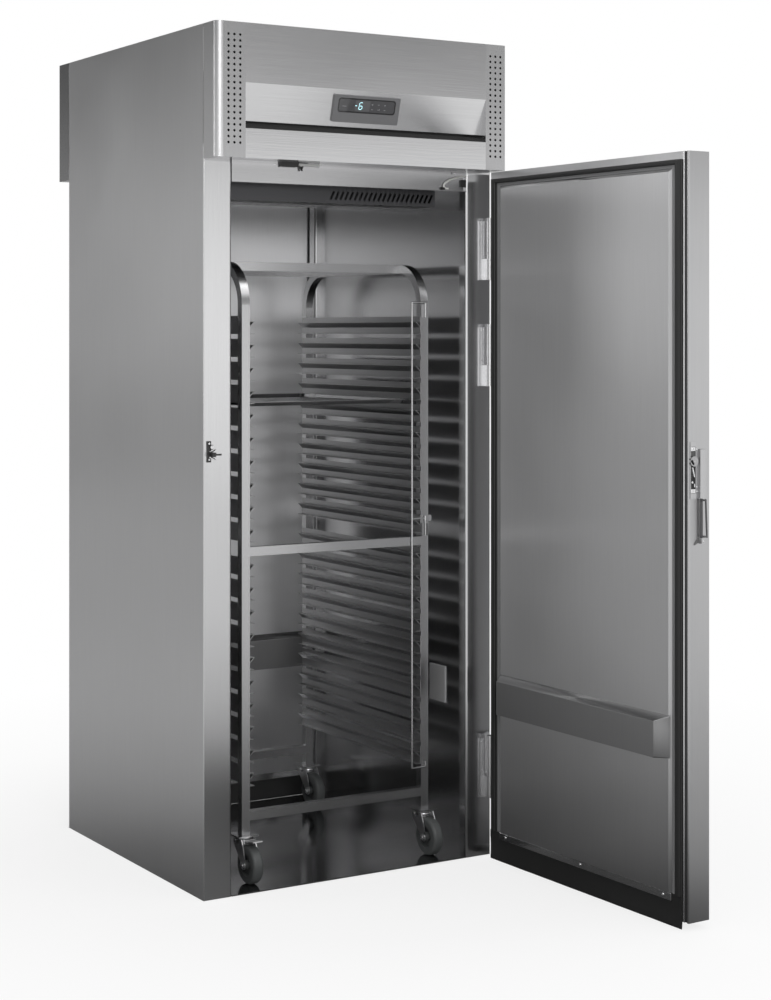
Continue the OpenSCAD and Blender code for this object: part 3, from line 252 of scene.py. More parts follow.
def sheet_steel(name, tone, stretch, rough, contrast=0.12, smudge=0.1, drawn=0.0):
    """Metal sheet of a grey or coloured tone: the brushed group drives colour, roughness and a shallow bump,
    and drawn spreads the gloss across an upright grain."""
    look = bpy.data.materials.new(name)
    look.use_nodes = True
    t = look.node_tree
    bsdf = t.nodes["Principled BSDF"]
    bsdf.inputs["Metallic"].default_value = 1.0
    if drawn:
        bsdf.inputs["Anisotropic"].default_value = drawn
        across = t.nodes.new("ShaderNodeTangent")
        across.direction_type = "RADIAL"
        across.axis = "Z"
        t.links.new(across.outputs[0], bsdf.inputs["Tangent"])
    grain = t.nodes.new("ShaderNodeGroup")
    grain.name = "grain"
    grain.node_tree = BRUSHED
    grain.inputs["Stretch"].default_value = stretch
    colour = tone if isinstance(tone, tuple) else (tone, tone, tone * 1.01)
    grain.inputs["Tint"].default_value = (*colour, 1)
    grain.inputs["Contrast"].default_value = contrast
    grain.inputs["Rough"].default_value = rough
    grain.inputs["Smudge"].default_value = smudge
    height_bump = t.nodes.new("ShaderNodeBump")
    height_bump.inputs["Strength"].default_value = 0.15
    height_bump.inputs["Distance"].default_value = 0.0002
    t.links.new(grain.outputs["Colour"], bsdf.inputs["Base Color"])
    t.links.new(grain.outputs["Roughness"], bsdf.inputs["Roughness"])
    t.links.new(grain.outputs["Height"], height_bump.inputs["Height"])
    t.links.new(height_bump.outputs[0], bsdf.inputs["Normal"])
    return look


def dress(look, *names):
    """Gives CAD nodes their finish."""
    for name in names:
        mesh = NODES[name].data
        mesh.materials.clear()
        mesh.materials.append(look)


UPRIGHT = (420, 420, 5)
LEVEL = (5, 420, 420)
panel_steel = sheet_steel("panel steel", 0.56, UPRIGHT, 0.32, drawn=0.85)
panel = panel_steel.node_tree
panel_place = panel.nodes.new("ShaderNodeTexCoord")
panel_split = panel.nodes.new("ShaderNodeSeparateXYZ")
panel.links.new(panel_place.outputs["Object"], panel_split.inputs[0])
outside_face = panel.nodes.new("ShaderNodeMapRange")
outside_face.inputs["From Min"].default_value = 0.4600
outside_face.inputs["From Max"].default_value = 0.4648
outside_face.inputs["To Min"].default_value = 0.62
outside_face.inputs["To Max"].default_value = 1.0
panel.links.new(math_node(panel, "ABSOLUTE", panel_split.outputs["X"]), outside_face.inputs["Value"])
panel_rough = panel.nodes["grain"].outputs["Roughness"]
satin = math_node(panel, "MULTIPLY", panel_rough, outside_face.outputs["Result"])
panel.links.new(satin, panel.nodes["Principled BSDF"].inputs["Roughness"])
dress(panel_steel, "left_wall", "right_wall", "rear_fascia")

# Chamber ceiling and lintels: the same stainless sheet, bright and little brushed. The ceiling is a flat
# panel; the lintels are folded round the heads of both doorways and hemmed.
dress(sheet_steel("chamber steel", 0.40, UPRIGHT, 0.22, smudge=0.16), "chamber_roof")
dress(sheet_steel("lintel steel", 0.54, LEVEL, 0.26), "lintels")

# Chamber floor: a flat stainless pan laid between the walls, level with the ground so that trolleys roll
# in; worn glossy and cloudy by wheels and mops.
dress(sheet_steel("floor steel", 0.36, (5, 300, 300), 0.12, smudge=0.16), "floor_pan")


# Rubbing pad on the right inner wall: a small sheet of dull steel, bonded on where the trolley's frame
# would scrape.
def grain_group():
    """Node group: fine noise. Colour = Dark + (Light - Dark) * noise; Height = noise."""
    group = bpy.data.node_groups.new("moulded grain", "ShaderNodeTree")
    face = group.interface
    face.new_socket("Scale", in_out="INPUT", socket_type="NodeSocketFloat")
    for name in ("Dark", "Light"):
        face.new_socket(name, in_out="INPUT", socket_type="NodeSocketColor")
    face.new_socket("Colour", in_out="OUTPUT", socket_type="NodeSocketColor")
    face.new_socket("Height", in_out="OUTPUT", socket_type="NodeSocketFloat")
    nodes, links = group.nodes, group.links
    inside, outside = nodes.new("NodeGroupInput"), nodes.new("NodeGroupOutput")
    place = nodes.new("ShaderNodeTexCoord")
    noise = nodes.new("ShaderNodeTexNoise")
    noise.inputs["Detail"].default_value = 2.0
    links.new(place.outputs["Object"], noise.inputs["Vector"])
    links.new(inside.outputs["Scale"], noise.inputs["Scale"])
    tone = nodes.new("ShaderNodeMix")
    tone.data_type = "RGBA"
    links.new(noise.outputs["Fac"], tone.inputs["Factor"])
    links.new(inside.outputs["Dark"], tone.inputs["A"])
    links.new(inside.outputs["Light"], tone.inputs["B"])
    links.new(tone.outputs["Result"], outside.inputs["Colour"])
    links.new(noise.outputs["Fac"], outside.inputs["Height"])
    return group


GRAIN = grain_group()


def moulded(name, tint, rough, grain_scale=900.0, bump=0.1, coat=0.0, metal=0.0, gloss=0.5):
    """Moulded rubber, plastic or dull metal: the grain group drives a bump, and runs the colour from 0.86 to
    1.12 times tint."""
    look = bpy.data.materials.new(name)
    look.use_nodes = True
    t = look.node_tree
    bsdf = t.nodes["Principled BSDF"]
    bsdf.inputs["Coat Weight"].default_value = coat
    bsdf.inputs["Metallic"].default_value = metal
    bsdf.inputs["Specular IOR Level"].default_value = gloss
    bsdf.inputs["Roughness"].default_value = rough
    grain = t.nodes.new("ShaderNodeGroup")
    grain.node_tree = GRAIN
    grain.inputs["Scale"].default_value = grain_scale
    grain.inputs["Dark"].default_value = (*[c * 0.86 for c in tint], 1)
    grain.inputs["Light"].default_value = (*[min(1, c * 1.12) for c in tint], 1)
    relief = t.nodes.new("ShaderNodeBump")
    relief.inputs["Strength"].default_value = bump
    relief.inputs["Distance"].default_value = 0.0003
    t.links.new(grain.outputs["Colour"], bsdf.inputs["Base Color"])
    t.links.new(grain.outputs["Height"], relief.inputs["Height"])
    t.links.new(relief.outputs[0], bsdf.inputs["Normal"])
    return look


dress(moulded("pad steel", (0.60, 0.60, 0.605), 0.6, metal=0.15), "wall_pad")

# Air duct under the ceiling: a shallow box folded from zinc-coated sheet, screwed up behind the front
# lintel, with a row of slanted slots that blow down into the chamber. Its colour is painted dark, as the
# shade under the ceiling.
# Painted shade: the duct's sheet is tinted near-black.
dress(moulded("shaded duct zinc", (0.10, 0.10, 0.105), 0.42, 300.0, metal=0.7), "air_duct")

# Front fascia: stainless sheet bent into a sloping band for the controls, grain level, duller on its corner
# post; inside the air slot under the band the sheet is painted near-black and not metallic, as painted
# shade.
POST_EDGE = -0.4435
SLOT_START, SLOT_FACE, SLOT_LOW, SLOT_HIGH = -0.378, -0.5385, 2.0676, 2.0904
fascia_steel = sheet_steel("fascia steel", 0.63, LEVEL, 0.215, contrast=0.2, smudge=0.06, drawn=0.85)
fascia = fascia_steel.node_tree
fascia_place = fascia.nodes.new("ShaderNodeTexCoord")
fascia_split = fascia.nodes.new("ShaderNodeSeparateXYZ")
fascia.links.new(fascia_place.outputs["Object"], fascia_split.inputs[0])
in_x, in_y, in_z = fascia_split.outputs
past_start = math_node(fascia, "GREATER_THAN", in_x, SLOT_START)
behind_face = math_node(fascia, "GREATER_THAN", in_y, SLOT_FACE)
over_low = math_node(fascia, "GREATER_THAN", in_z, SLOT_LOW)
under_high = math_node(fascia, "LESS_THAN", in_z, SLOT_HIGH)
in_plan = math_node(fascia, "MULTIPLY", past_start, behind_face)
in_height = math_node(fascia, "MULTIPLY", over_low, under_high)
slot_shade_mask = math_node(fascia, "MULTIPLY", in_plan, in_height)
# Painted shade: near-black, non-metal colour inside the air slot under the band.
painted_slot_shade = fascia.nodes.new("ShaderNodeMix")
painted_slot_shade.data_type = "RGBA"
painted_slot_shade.inputs["B"].default_value = (0.012, 0.012, 0.012, 1)
fascia.links.new(slot_shade_mask, painted_slot_shade.inputs["Factor"])
fascia.links.new(fascia.nodes["grain"].outputs["Colour"], painted_slot_shade.inputs["A"])
fascia_bsdf = fascia.nodes["Principled BSDF"]
fascia.links.new(painted_slot_shade.outputs["Result"], fascia_bsdf.inputs["Base Color"])
fascia.links.new(math_node(fascia, "SUBTRACT", 1.0, slot_shade_mask), fascia_bsdf.inputs["Metallic"])
on_post = math_node(fascia, "LESS_THAN", in_x, POST_EDGE)
softer = math_node(fascia, "MULTIPLY_ADD", on_post, 0.4, 1.0)
fascia_rough = math_node(fascia, "MULTIPLY", fascia.nodes["grain"].outputs["Roughness"], softer)
fascia.links.new(fascia_rough, fascia_bsdf.inputs["Roughness"])
dress(fascia_steel, "front_fascia")

# Perforated panels: thin stainless sheet punched with rows of round holes, screwed over both ends of the
# front and the rear fascia, so that the unit on the roof can breathe.
dress(sheet_steel("grille steel", 0.52, UPRIGHT, 0.24), "grille_panels")


# Shade sheets: near-black foam cut to fit behind the perforated panels of both fascias, where it is painted
# shade that darkens their holes.
def loft(rings):
    """Closed skin through equal rings of points: ring i joins ring i + 1, and flat caps close both ends."""
    rings = np.asarray(rings, float)
    rows, round_count = rings.shape[:2]
    at = np.arange(rows * round_count).reshape(rows, round_count)
    beside = np.roll(at, -1, axis=1)
    skin = np.stack([at[:-1], beside[:-1], beside[1:], at[1:]], -1).reshape(-1, 4)
    return rings.reshape(-1, 3), skin.tolist() + [at[0, ::-1].tolist(), at[-1].tolist()]


def make_piece(name, shapes, look, body, smooth=35):
    """Joins shapes (points in mm, faces) into one object in metres, normals outward, edges sharper than
    smooth degrees kept, and lets it ride on body."""
    starts = np.cumsum([0] + [len(points) for points, _ in shapes])
    points = np.concatenate([points for points, _ in shapes]) / 1000
    faces = [[i + start for i in face] for start, (_, skin) in zip(starts, shapes) for face in skin]
    mesh = bpy.data.meshes.new(name)
    mesh.from_pydata(points.tolist(), [], faces)
    work = bmesh.new()
    work.from_mesh(mesh)
    bmesh.ops.recalc_face_normals(work, faces=work.faces)
    work.to_mesh(mesh)
    work.free()
    mesh.shade_smooth()
    mesh.set_sharp_from_angle(angle=math.radians(smooth))
    mesh.materials.append(look)
    obj = bpy.data.objects.new(name, mesh)
    scene.collection.objects.link(obj)
    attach(obj, body)
    return obj


def round_outline(w, h, r, steps=4):
    """Points round a rectangle w by h with corners of radius r: four quarter circles, one per corner."""
    turn = np.linspace(0, math.pi / 2, steps + 1)
    x, y = w / 2 - r, h / 2 - r
    quarters = []
    for k, middle in enumerate(((x, y), (-x, y), (-x, -y), (x, -y))):
        angle = turn + k * math.pi / 2
        quarters.append(np.stack([np.cos(angle), np.sin(angle)], 1) * r + middle)
    return np.concatenate(quarters)


def pressed(outline, thick, chamfer, origin, across, up, out):
    """Plate of an outline: point = origin + a * across + b * up + h * out, straight to thick - chamfer, then
    drawn in by chamfer on each side."""
    outline = np.asarray(outline, float)
    centre = (outline.max(0) + outline.min(0)) / 2
    half = (outline.max(0) - outline.min(0)) / 2
    inner = centre + (outline - centre) * (1 - chamfer / half)
    axes = np.array([across, up, out], float)
    origin = np.asarray(origin, float)
    levels = ((outline, 0.0), (outline, thick - chamfer), (inner, thick))
    return loft([np.column_stack([flat, np.full(len(flat), h)]) @ axes + origin for flat, h in levels])


EAST, NORTH, UP = (1.0, 0, 0), (0, 1.0, 0), (0, 0, 1.0)
SOUTH = (0, -1.0, 0)
# Painted shade: near-black sheets that darken the holes of the perforated panels.
grille_shade_foam = moulded("grille shade foam", (0.004, 0.004, 0.004), 0.95, 420.0, 0.9, gloss=0.1)
SHADE_SHEET_Y, SHADE_SHEET_Z, SHADE_SHEET_THICK = 532.5, 2169.5, 5.0
shade_sheet_outline = round_outline(61, 345, 3)
shade_sheets = []
for front_x, rear_x in ((-410.5, 431.5), (431.5, -431.5)):
    for x, y, outward in ((front_x, -SHADE_SHEET_Y, SOUTH), (rear_x, SHADE_SHEET_Y, NORTH)):
        shade_sheets.append(pressed(shade_sheet_outline, SHADE_SHEET_THICK, 1.2, (x, y, SHADE_SHEET_Z), EAST, UP, outward))
make_piece("grille_shade_sheets", shade_sheets, grille_shade_foam, "cabinet")

# Control panel: a grey moulded bezel screwed to the sloping band from behind, with the rim of a smoked
# window let into it.
dress(moulded("bezel plastic", (0.15, 0.15, 0.155), 0.38), "control_bezel")
dress(moulded("window rim", (0.010, 0.010, 0.011), 0.15, coat=0.5), "display_window")

# Display behind the window: smoked film with a lighter reading field, two seven-segment places and the
# printed key marks, each a thin layer over the last. Places are a along the band and b up it, from its
# middle; the band leans back 28 in 100.
BAND = np.array([4.0, -526.0, 2140.0])
FILM_LIFT, FIELD_LIFT, MARK_LIFT, FIGURE_LIFT = 5.68, 5.86, 5.9, 5.95
WINDOW_B = 10
slope = math.atan(28 / 100)
BAND_UP = (0, -math.sin(slope), math.cos(slope))
BAND_OUT = (0, -math.cos(slope), -math.sin(slope))


def on_band(outline, a, b, lift, thick, chamfer=0.02):
    """Thin plate on the control panel, centred at a and b, lift above the band."""
    origin = BAND + np.array(EAST) * a + np.array(BAND_UP) * b + np.array(BAND_OUT) * lift
    return pressed(outline, thick, chamfer, origin, EAST, BAND_UP, BAND_OUT)


film_look = moulded("smoked film", (0.060, 0.060, 0.064), 0.16, 60.0, 0.02, coat=0.6)
film = on_band(round_outline(177, 32.5, 6), 0, WINDOW_B, FILM_LIFT, 0.22, 0.1)
make_piece("display_film", [film], film_look, "cabinet")
field_look = moulded("reading field", (0.095, 0.095, 0.10), 0.16, 60.0, 0.02, coat=0.6)
field = on_band(round_outline(47, 29, 1.5), -14, WINDOW_B, FIELD_LIFT, 0.1)
make_piece("display_field", [field], field_look, "cabinet")


def glowing(name, tint, strength):
    """Lit or printed mark: its own colour with a little glow, finely uneven."""
    look = moulded(name, tint, 0.4, 2000.0)
    bsdf = look.node_tree.nodes["Principled BSDF"]
    bsdf.inputs["Emission Color"].default_value = (*tint, 1)
    bsdf.inputs["Emission Strength"].default_value = strength
    return look


def seven_segment(lit, a, b, w, h):
    """Lit bars of one figure w by h: a top, b and c right, d bottom, e and f left, g middle. They lean over
    to the right by lean times their height."""
    bar, lean = 2.2, 0.14
    bars = {
        "a": (0, h / 2, 1), "g": (0, 0, 1), "d": (0, -h / 2, 1),
        "f": (-w / 2, h / 4, 0), "b": (w / 2, h / 4, 0),
        "e": (-w / 2, -h / 4, 0), "c": (w / 2, -h / 4, 0)}
    shapes = []
    for key in lit:
        x, y, flat = bars[key]
        size = (w - bar, bar) if flat else (bar, h / 2 - bar * 0.6)
        outline = round_outline(*size, 0.6, 1) + (x, y)
        outline[:, 0] += outline[:, 1] * lean
        shapes.append(on_band(outline, a, b, FIGURE_LIFT, 0.09))
    return shapes


figures = seven_segment("afgedc", -20, WINDOW_B, 10, 19) + seven_segment("g", -35, WINDOW_B, 8, 19)
lit_look = glowing("lit figures", (0.42, 0.72, 0.78), 0.9)
make_piece("display_figures", figures, lit_look, "cabinet")
dash, stroke = round_outline(5.5, 1.3, 0.5, 1), round_outline(1.3, 5.5, 0.5, 1)
marks = [on_band(round_outline(13, 1.4, 0.5, 1), -72, 7, MARK_LIFT, 0.06)]
for a, stroke_a, stroke_b in ((17, 17, 15), (37, 41, 3), (58, 58, 15)):
    marks.append(on_band(dash, a, 16, MARK_LIFT, 0.06))
    marks.append(on_band(dash, a, 2, MARK_LIFT, 0.06))
    marks.append(on_band(stroke, stroke_a, stroke_b, MARK_LIFT, 0.06))
printed = glowing("printed marks", (0.26, 0.26, 0.27), 0.05)
make_piece("key_marks", marks, printed, "cabinet")


# Lintel screws: three round-headed steel screws near the top of the front lintel, which hold the flange of
# the fascia above it.
def turned(profile, origin, axis, sides=20):
    """Turned part: each (radius, height) of the profile becomes a circle of that radius about the axis, at
    origin + height * axis."""
    axis = np.asarray(axis, float)
    side_way = np.cross(axis, (0.31, 0.59, 0.74))
    side_way /= np.linalg.norm(side_way)
    other = np.cross(axis, side_way)
    angle = np.linspace(0, 2 * math.pi, sides, endpoint=False)
    circle = np.cos(angle)[:, None] * side_way + np.sin(angle)[:, None] * other
    return loft([np.asarray(origin, float) + axis * h + circle * r for r, h in profile])


def screw(origin, axis, r, h):
    """Round-headed screw: a domed head of radius r and height h with a small socket at its middle."""
    dome = [(r, -0.4), (r, 0.2 * h), (0.93 * r, 0.55 * h), (0.72 * r, 0.88 * h), (0.42 * r, h)]
    socket = [(0.36 * r, 0.96 * h), (0.3 * r, 0.45 * h)]
    return turned(dome + socket, origin, axis)


screw_steel = sheet_steel("screw steel", 0.74, (90, 90, 90), 0.22, contrast=0.05)
LINTEL_FACE = -465.0
heads = [
    screw((x, LINTEL_FACE, z), SOUTH, 3.0, 1.6)
    for x, z in ((-247.7, 1983.0), (256.1, 1983.0), (342.0, 1982.0))]
make_piece("lintel_screws", heads, screw_steel, "cabinet")

# Frame heater's lead: a white silicone lead that comes out of one black rubber gland in the lintel, loops
# down in its pocket and goes back in through another.
route = np.array([
    (0.4, 45), (-14, 45), (-30, 44), (-46, 41), (-62, 37), (-76, 32),
    (-88, 26), (-96, 19), (-98, 13), (-95, 8.6), (-89, 7), (-82, 7)])
LEAD_START = (403, -460.5, 1930)
LEAD_POINTS, LEAD_ROUNDS = 90, 12
knots = np.linspace(0, 1, len(route))
along_route = np.linspace(0, 1, LEAD_POINTS)
smooth_route = np.stack([np.interp(along_route, knots, route[:, i]) for i in (0, 1)], 1)
for _ in range(LEAD_ROUNDS):
    smooth_route[1:-1] = (smooth_route[:-2] + 2 * smooth_route[1:-1] + smooth_route[2:]) / 4
centre_line = np.insert(smooth_route, 1, 0, axis=1) + LEAD_START


def tube(line, r):
    """Round tube along a line of points in a plane of constant Y: a circle of radius r square to the line at
    each point."""
    along = np.gradient(line, axis=0)
    along /= np.linalg.norm(along, axis=1)[:, None]
    level_way = np.stack([along[:, 2], np.zeros(len(line)), -along[:, 0]], 1)
    angle = np.linspace(0, 2 * math.pi, 16, endpoint=False)
    cos, sin = np.cos(angle)[None, :, None], np.sin(angle)[None, :, None]
    return loft(line[:, None, :] + r * (cos * level_way[:, None, :] + sin * np.array(NORTH)))


silicone = moulded("lead silicone", (0.80, 0.80, 0.78), 0.42)
lead = make_piece("heater_lead_tube", [tube(centre_line, 2.9)], silicone, "cabinet")
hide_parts("heater_lead")
dress(moulded("gland rubber", (0.02, 0.02, 0.02), 0.6), "cable_glands")

# Door switch: a black moulded body and its lever, screwed under the fascia where the door's top edge presses
# them, and beside them a pale moulded cover on two small screws.
dress(moulded("switch black", (0.028, 0.028, 0.028), 0.4), "door_switch", "switch_lever")
COVER_FOOT, COVER_TOP, COVER_Z = LINTEL_FACE - 0.2, LINTEL_FACE - 6.6, 1983.2
cover = [
    pressed(round_outline(66, 8.5, 2), 6.5, 1.4, (-143, COVER_FOOT, COVER_Z), EAST, UP, SOUTH),
    pressed(round_outline(46, 4.5, 1.5), 1.0, 0.5, (-146, COVER_TOP + 0.1, COVER_Z + 0.2), EAST, UP, SOUTH),
    screw((-118, COVER_TOP, COVER_Z), SOUTH, 2.2, 1.0),
    screw((-171, COVER_TOP, COVER_Z), SOUTH, 2.2, 1.0)]
cover_plastic = moulded("cover plastic", (0.72, 0.72, 0.71), 0.4)
make_piece("switch_cover", cover, cover_plastic, "cabinet")

# Strikes on the free jambs: a black cast plate with the pin that the latch's cam turns round, zinc guide
# prongs above and below it, an eye, and two screws into the jamb.
dress(moulded("strike black", (0.05, 0.05, 0.05), 0.4, metal=0.5), "latch_strikes")
HINGE_X, HINGE_Y, JAMB_V = 451, 487, -17
prong = np.array([(0, 0), (5, 1.2), (10, 3.6), (15, 8.4), (16.6, 7.6), (12.4, 2.0), (6, -1.6), (0, -2.8)])
eye = [(4.6, -1.2), (5.2, 0.0), (4.6, 1.2), (3.2, 1.2), (2.6, 0.0)]
zinc = sheet_steel("bright zinc", 0.72, (60, 60, 60), 0.26, contrast=0.1)


def on_jamb(side, u, v, z):
    """World place of u, v, z of the shut door on the side -1 for front or 1 for rear."""
    return (HINGE_X - u, side * (HINGE_Y + v), z)


guides = []
for side in (-1, 1):
    outward = (0, side * 1.0, 0)
    for z, lean in ((1202.5, 1.0), (1187.5, -1.0)):
        along, rise = (0.9, side * 0.43, 0), (-0.258, side * 0.54, lean * 0.8)
        guides.append(pressed(prong, 1.6, 0.3, on_jamb(side, 900, JAMB_V, z), along, rise, (0.1, 0.1, lean)))
    guides.append(turned(eye, on_jamb(side, 893.5, JAMB_V + 2.2, 1214.5), outward))
    for z in (1181, 1224):
        guides.append(screw(on_jamb(side, 901, JAMB_V + 0.4, z), outward, 3.3, 1.7))
make_piece("strike_guides", guides, zinc, "cabinet")

# Hinges: pressed and polished steel, a leaf on the jamb with the lower knuckle and pin, a leaf on the door
# with the upper knuckle; three round-headed screws hold each leaf on the jamb.
hinge_metal = sheet_steel("hinge metal", 0.80, (60, 60, 30), 0.24, contrast=0.05)
dress(hinge_metal, "frame_hinges", "front_door_hinges", "rear_door_hinges")
hinge_screws = []
for side in (-1, 1):
    for foot in (171, 1366, 1675):
        for z in (foot + 78, foot + 124, foot + 160):
            hinge_screws.append(screw(on_jamb(side, 19, JAMB_V, z), (0, side * 1.0, 0), 3.6, 1.3))
make_piece("hinge_screws", hinge_screws, screw_steel, "cabinet")

# Doors: foamed slabs skinned in brushed sheet, grain upright, with a raised pan pressed into the inner face
# that the seal runs round. The front door's pan is rougher than the rear one's; the rear pan is painted
# lighter, as painted light on it.
dress(sheet_steel("door steel", 0.47, UPRIGHT, 0.32, drawn=0.85), "front_door_slab", "rear_door_slab")
dress(sheet_steel("liner steel", 0.565, UPRIGHT, 0.415, drawn=0.9), "front_door_liner")
# Painted light: the rear pan's sheet is given a lighter colour than the front pan's same sheet.
dress(sheet_steel("lit rear liner steel", 0.80, UPRIGHT, 0.30, drawn=0.8), "rear_door_liner")

# Door seals: black rubber bellows on a clipped grey base up both sides and across the top, and a flat
# rubber sweep below, clamped by the steel strip.
ENDS = ("front", "rear")
DOOR_OPEN = 91.5


def door_frame(end):
    """Origin and u, v, z directions of a door as it stands, the front one open and the rear one shut: u runs
    from the hinge to the free edge, v outward and z up."""
    if end == "rear":
        return np.array([HINGE_X, HINGE_Y, 0.0]), np.array([(-1.0, 0, 0), NORTH, UP])
    turn = math.radians(180 + DOOR_OPEN)
    cos, sin = math.cos(turn), math.sin(turn)
    return np.array([HINGE_X, -HINGE_Y, 0.0]), np.array([(cos, sin, 0), (-sin, cos, 0), UP])


def in_door(end, u, v, z):
    """World places of a door's u, v and z, in mm: origin + u, v, z times the door's directions."""
    origin, axes = door_frame(end)
    return np.stack(np.broadcast_arrays(u, v, z), -1) @ axes + origin


SEAL_W, SEAL_V = np.array([
    (0, -10), (0, -13.0), (1.2, -14.4), (3.4, -15.6), (0.6, -17.2), (0.7, -19.6), (3.4, -21.1), (8, -21.4),
    (14, -21.3), (18.4, -20.6), (19.8, -18.8), (19.4, -17.0), (16.8, -15.5), (19.4, -14.2), (21, -13.0),
    (22.4, -12.5), (24, -13.0), (29.2, -13.0), (30.2, -12.3), (31.2, -13.0), (36, -12.9), (37.4, -12.4),
    (38, -11.9), (38, -10)]).T
BASE_FIRST, BASE_LAST = 15, 21
SEAL_HINGE_U, SEAL_FREE_U, SEAL_FOOT, SEAL_TOP = 28, 846, 85, 1965
SEAL_STEPS = 36


def seal_shape(end):
    """The seal's section (w in from the outer edge, v) carried up, across and down, mitred at the corners; w
    is drawn in across the top, and the bellows wavers by 0.15 mm."""
    w_top = np.where(SEAL_W <= 20, SEAL_W * 0.6, 12 + (SEAL_W - 20) * 10 / 18)
    climb = np.linspace(0, 1, SEAL_STEPS)[:, None]
    rise = SEAL_FOOT + (SEAL_TOP - w_top - SEAL_FOOT) * climb
    u_left, u_right = SEAL_HINGE_U + SEAL_W, SEAL_FREE_U - SEAL_W
    u = np.concatenate([
        np.broadcast_to(u_left, rise.shape),
        (u_left + (u_right - u_left) * climb)[1:-1],
        np.broadcast_to(u_right, rise.shape)])
    z = np.concatenate([rise, np.broadcast_to(SEAL_TOP - w_top, rise.shape)[1:-1], rise[::-1]])
    waver = 0.15 * np.sin(0.031 * z + 0.023 * u) * (SEAL_V < -15)
    return loft(in_door(end, u, SEAL_V + waver, z))


def sweep_shape(end):
    """The sweep's section (v, z) carried along u: full thickness under the strip, thin below, with a soft
    lip whose edge wavers by 0.4 mm."""
    v, z = np.array([
        (-10, SEAL_FOOT), (-15, SEAL_FOOT), (-15, 66), (-14.4, 62), (-13.6, 40), (-13.8, 20), (-14.6, 9),
        (-14.2, 1.4), (-12.6, 0.9), (-11.6, 6), (-10.8, 20), (-10.6, 40), (-10, 62)]).T
    u = np.linspace(20, SEAL_FREE_U, 70)[:, None]
    soft = np.clip((30 - z) / 30, 0, 1)
    return loft(in_door(end, u, v + 0.4 * soft * np.sin(0.045 * u) * np.cos(0.017 * u), z))


seal_rubber = moulded("seal rubber", (0.024, 0.024, 0.024), 0.5)
seal_base = moulded("seal base", (0.27, 0.27, 0.275), 0.5)
section_index = np.arange(len(SEAL_W))
base_edges = (section_index >= BASE_FIRST) & (section_index <= BASE_LAST)
SEAL_ROWS = SEAL_STEPS + (SEAL_STEPS - 2) + SEAL_STEPS - 1
for end in ENDS:
    shapes = [seal_shape(end), sweep_shape(end)]
    seal = make_piece(f"{end}_door_gasket", shapes, seal_rubber, f"{end}_door")
    seal.data.materials.append(seal_base)
    owner = np.zeros(len(seal.data.polygons), np.int32)
    owner[:SEAL_ROWS * len(SEAL_W)] = np.tile(base_edges, SEAL_ROWS)
    seal.data.polygons.foreach_set("material_index", owner)
    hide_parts(f"{end}_door_seals")

# Edge break: a ribbed strip of dark plastic, as long as the door is high, snapped into the groove between
# the outer sheet and the pan at each door's free edge.
edge_u, edge_v = np.array([
    (853.3, -6.1), (853.3, -8.0), (854.4, -8.9), (856.0, -7.5), (857.2, -8.8),
    (858.6, -7.5), (860.0, -8.9), (861.6, -7.8), (862.7, -8.3), (862.7, -6.1)]).T
DOOR_FOOT, DOOR_TOP = 21, 1984
edge_z = np.linspace(DOOR_FOOT, DOOR_TOP, 30)[:, None]
edge_plastic = moulded("edge plastic", (0.035, 0.035, 0.036), 0.35)
for end in ENDS:
    strip = loft(in_door(end, edge_u, edge_v, edge_z))
    make_piece(f"{end}_edge_break", [strip], edge_plastic, f"{end}_door")

# Bumper bars: stainless sheet folded into a shallow box with splayed ends and soft corners, riveted over
# the pan of each door where a trolley would knock it.
BAR_LOW, BAR_HIGH, BAR_MID_U, BAR_LENGTH, BAR_DEPTH = 430, 540, 440, 732, 34.0
LINER_V = -18.0


def bumper_shape(end):
    """Rings of a rectangle in u and z, drawn in as they leave the liner: along the splay first, then round
    the front corner on a quarter circle of 5 mm."""
    turn = np.linspace(0, math.pi / 2, 5)
    out = np.concatenate([[0.0, 28.0], 29 + 5 * np.sin(turn), [BAR_DEPTH]])
    inset = np.concatenate([[0.0, 21.2], 22 + 5 * (1 - np.cos(turn)), [28.0]])
    rings = []
    for depth, draw in zip(out, inset):
        low, high = BAR_LOW + draw * 0.08, BAR_HIGH - draw * 0.55
        outline = round_outline(BAR_LENGTH - 2 * draw, high - low, 2.5, 3) + (BAR_MID_U, (low + high) / 2)
        rings.append(in_door(end, outline[:, 0], LINER_V - depth, outline[:, 1]))
    return loft(rings)


bumper_steel = sheet_steel("bumper steel", 0.31, UPRIGHT, 0.42, drawn=0.9)
for end in ENDS:
    bar = make_piece(
        f"{end}_bumper_bar", [bumper_shape(end)], bumper_steel, f"{end}_door", 50)
    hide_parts(f"{end}_door_bumper")

# Clamping strips: a flat strip of bright steel over the upper edge of each door's rubber sweep, held by
# three round-headed screws.
CLAMP_U, CLAMP_Z = 437, 75.5
for end in ENDS:
    across, outward, up = door_frame(end)[1]
    middle = in_door(end, CLAMP_U, -17.0, CLAMP_Z)
    clamp = [pressed(round_outline(741, 18.4, 0.8), 0.5, 0.25, middle, across, up, -outward)]
    for u in (CLAMP_U - 341, CLAMP_U, CLAMP_U + 341):
        clamp.append(screw(in_door(end, u, -17.4, CLAMP_Z), -outward, 4.6, 2.6))
    make_piece(f"{end}_sweep_clamp", clamp, screw_steel, f"{end}_door")

# Hems: the outer sheet of each door ends in a small bright bead, rolled over between the seal and the edge
# break; its section is half an ellipse.
bead = np.linspace(0, math.pi, 9)
bead_u, bead_v = 849.6 + 2.9 * np.cos(bead), -9.95 - 1.7 * np.sin(bead)
for end in ENDS:
    hem = loft(in_door(end, bead_u, bead_v, edge_z))
    make_piece(f"{end}_edge_hem", [hem], screw_steel, f"{end}_door")


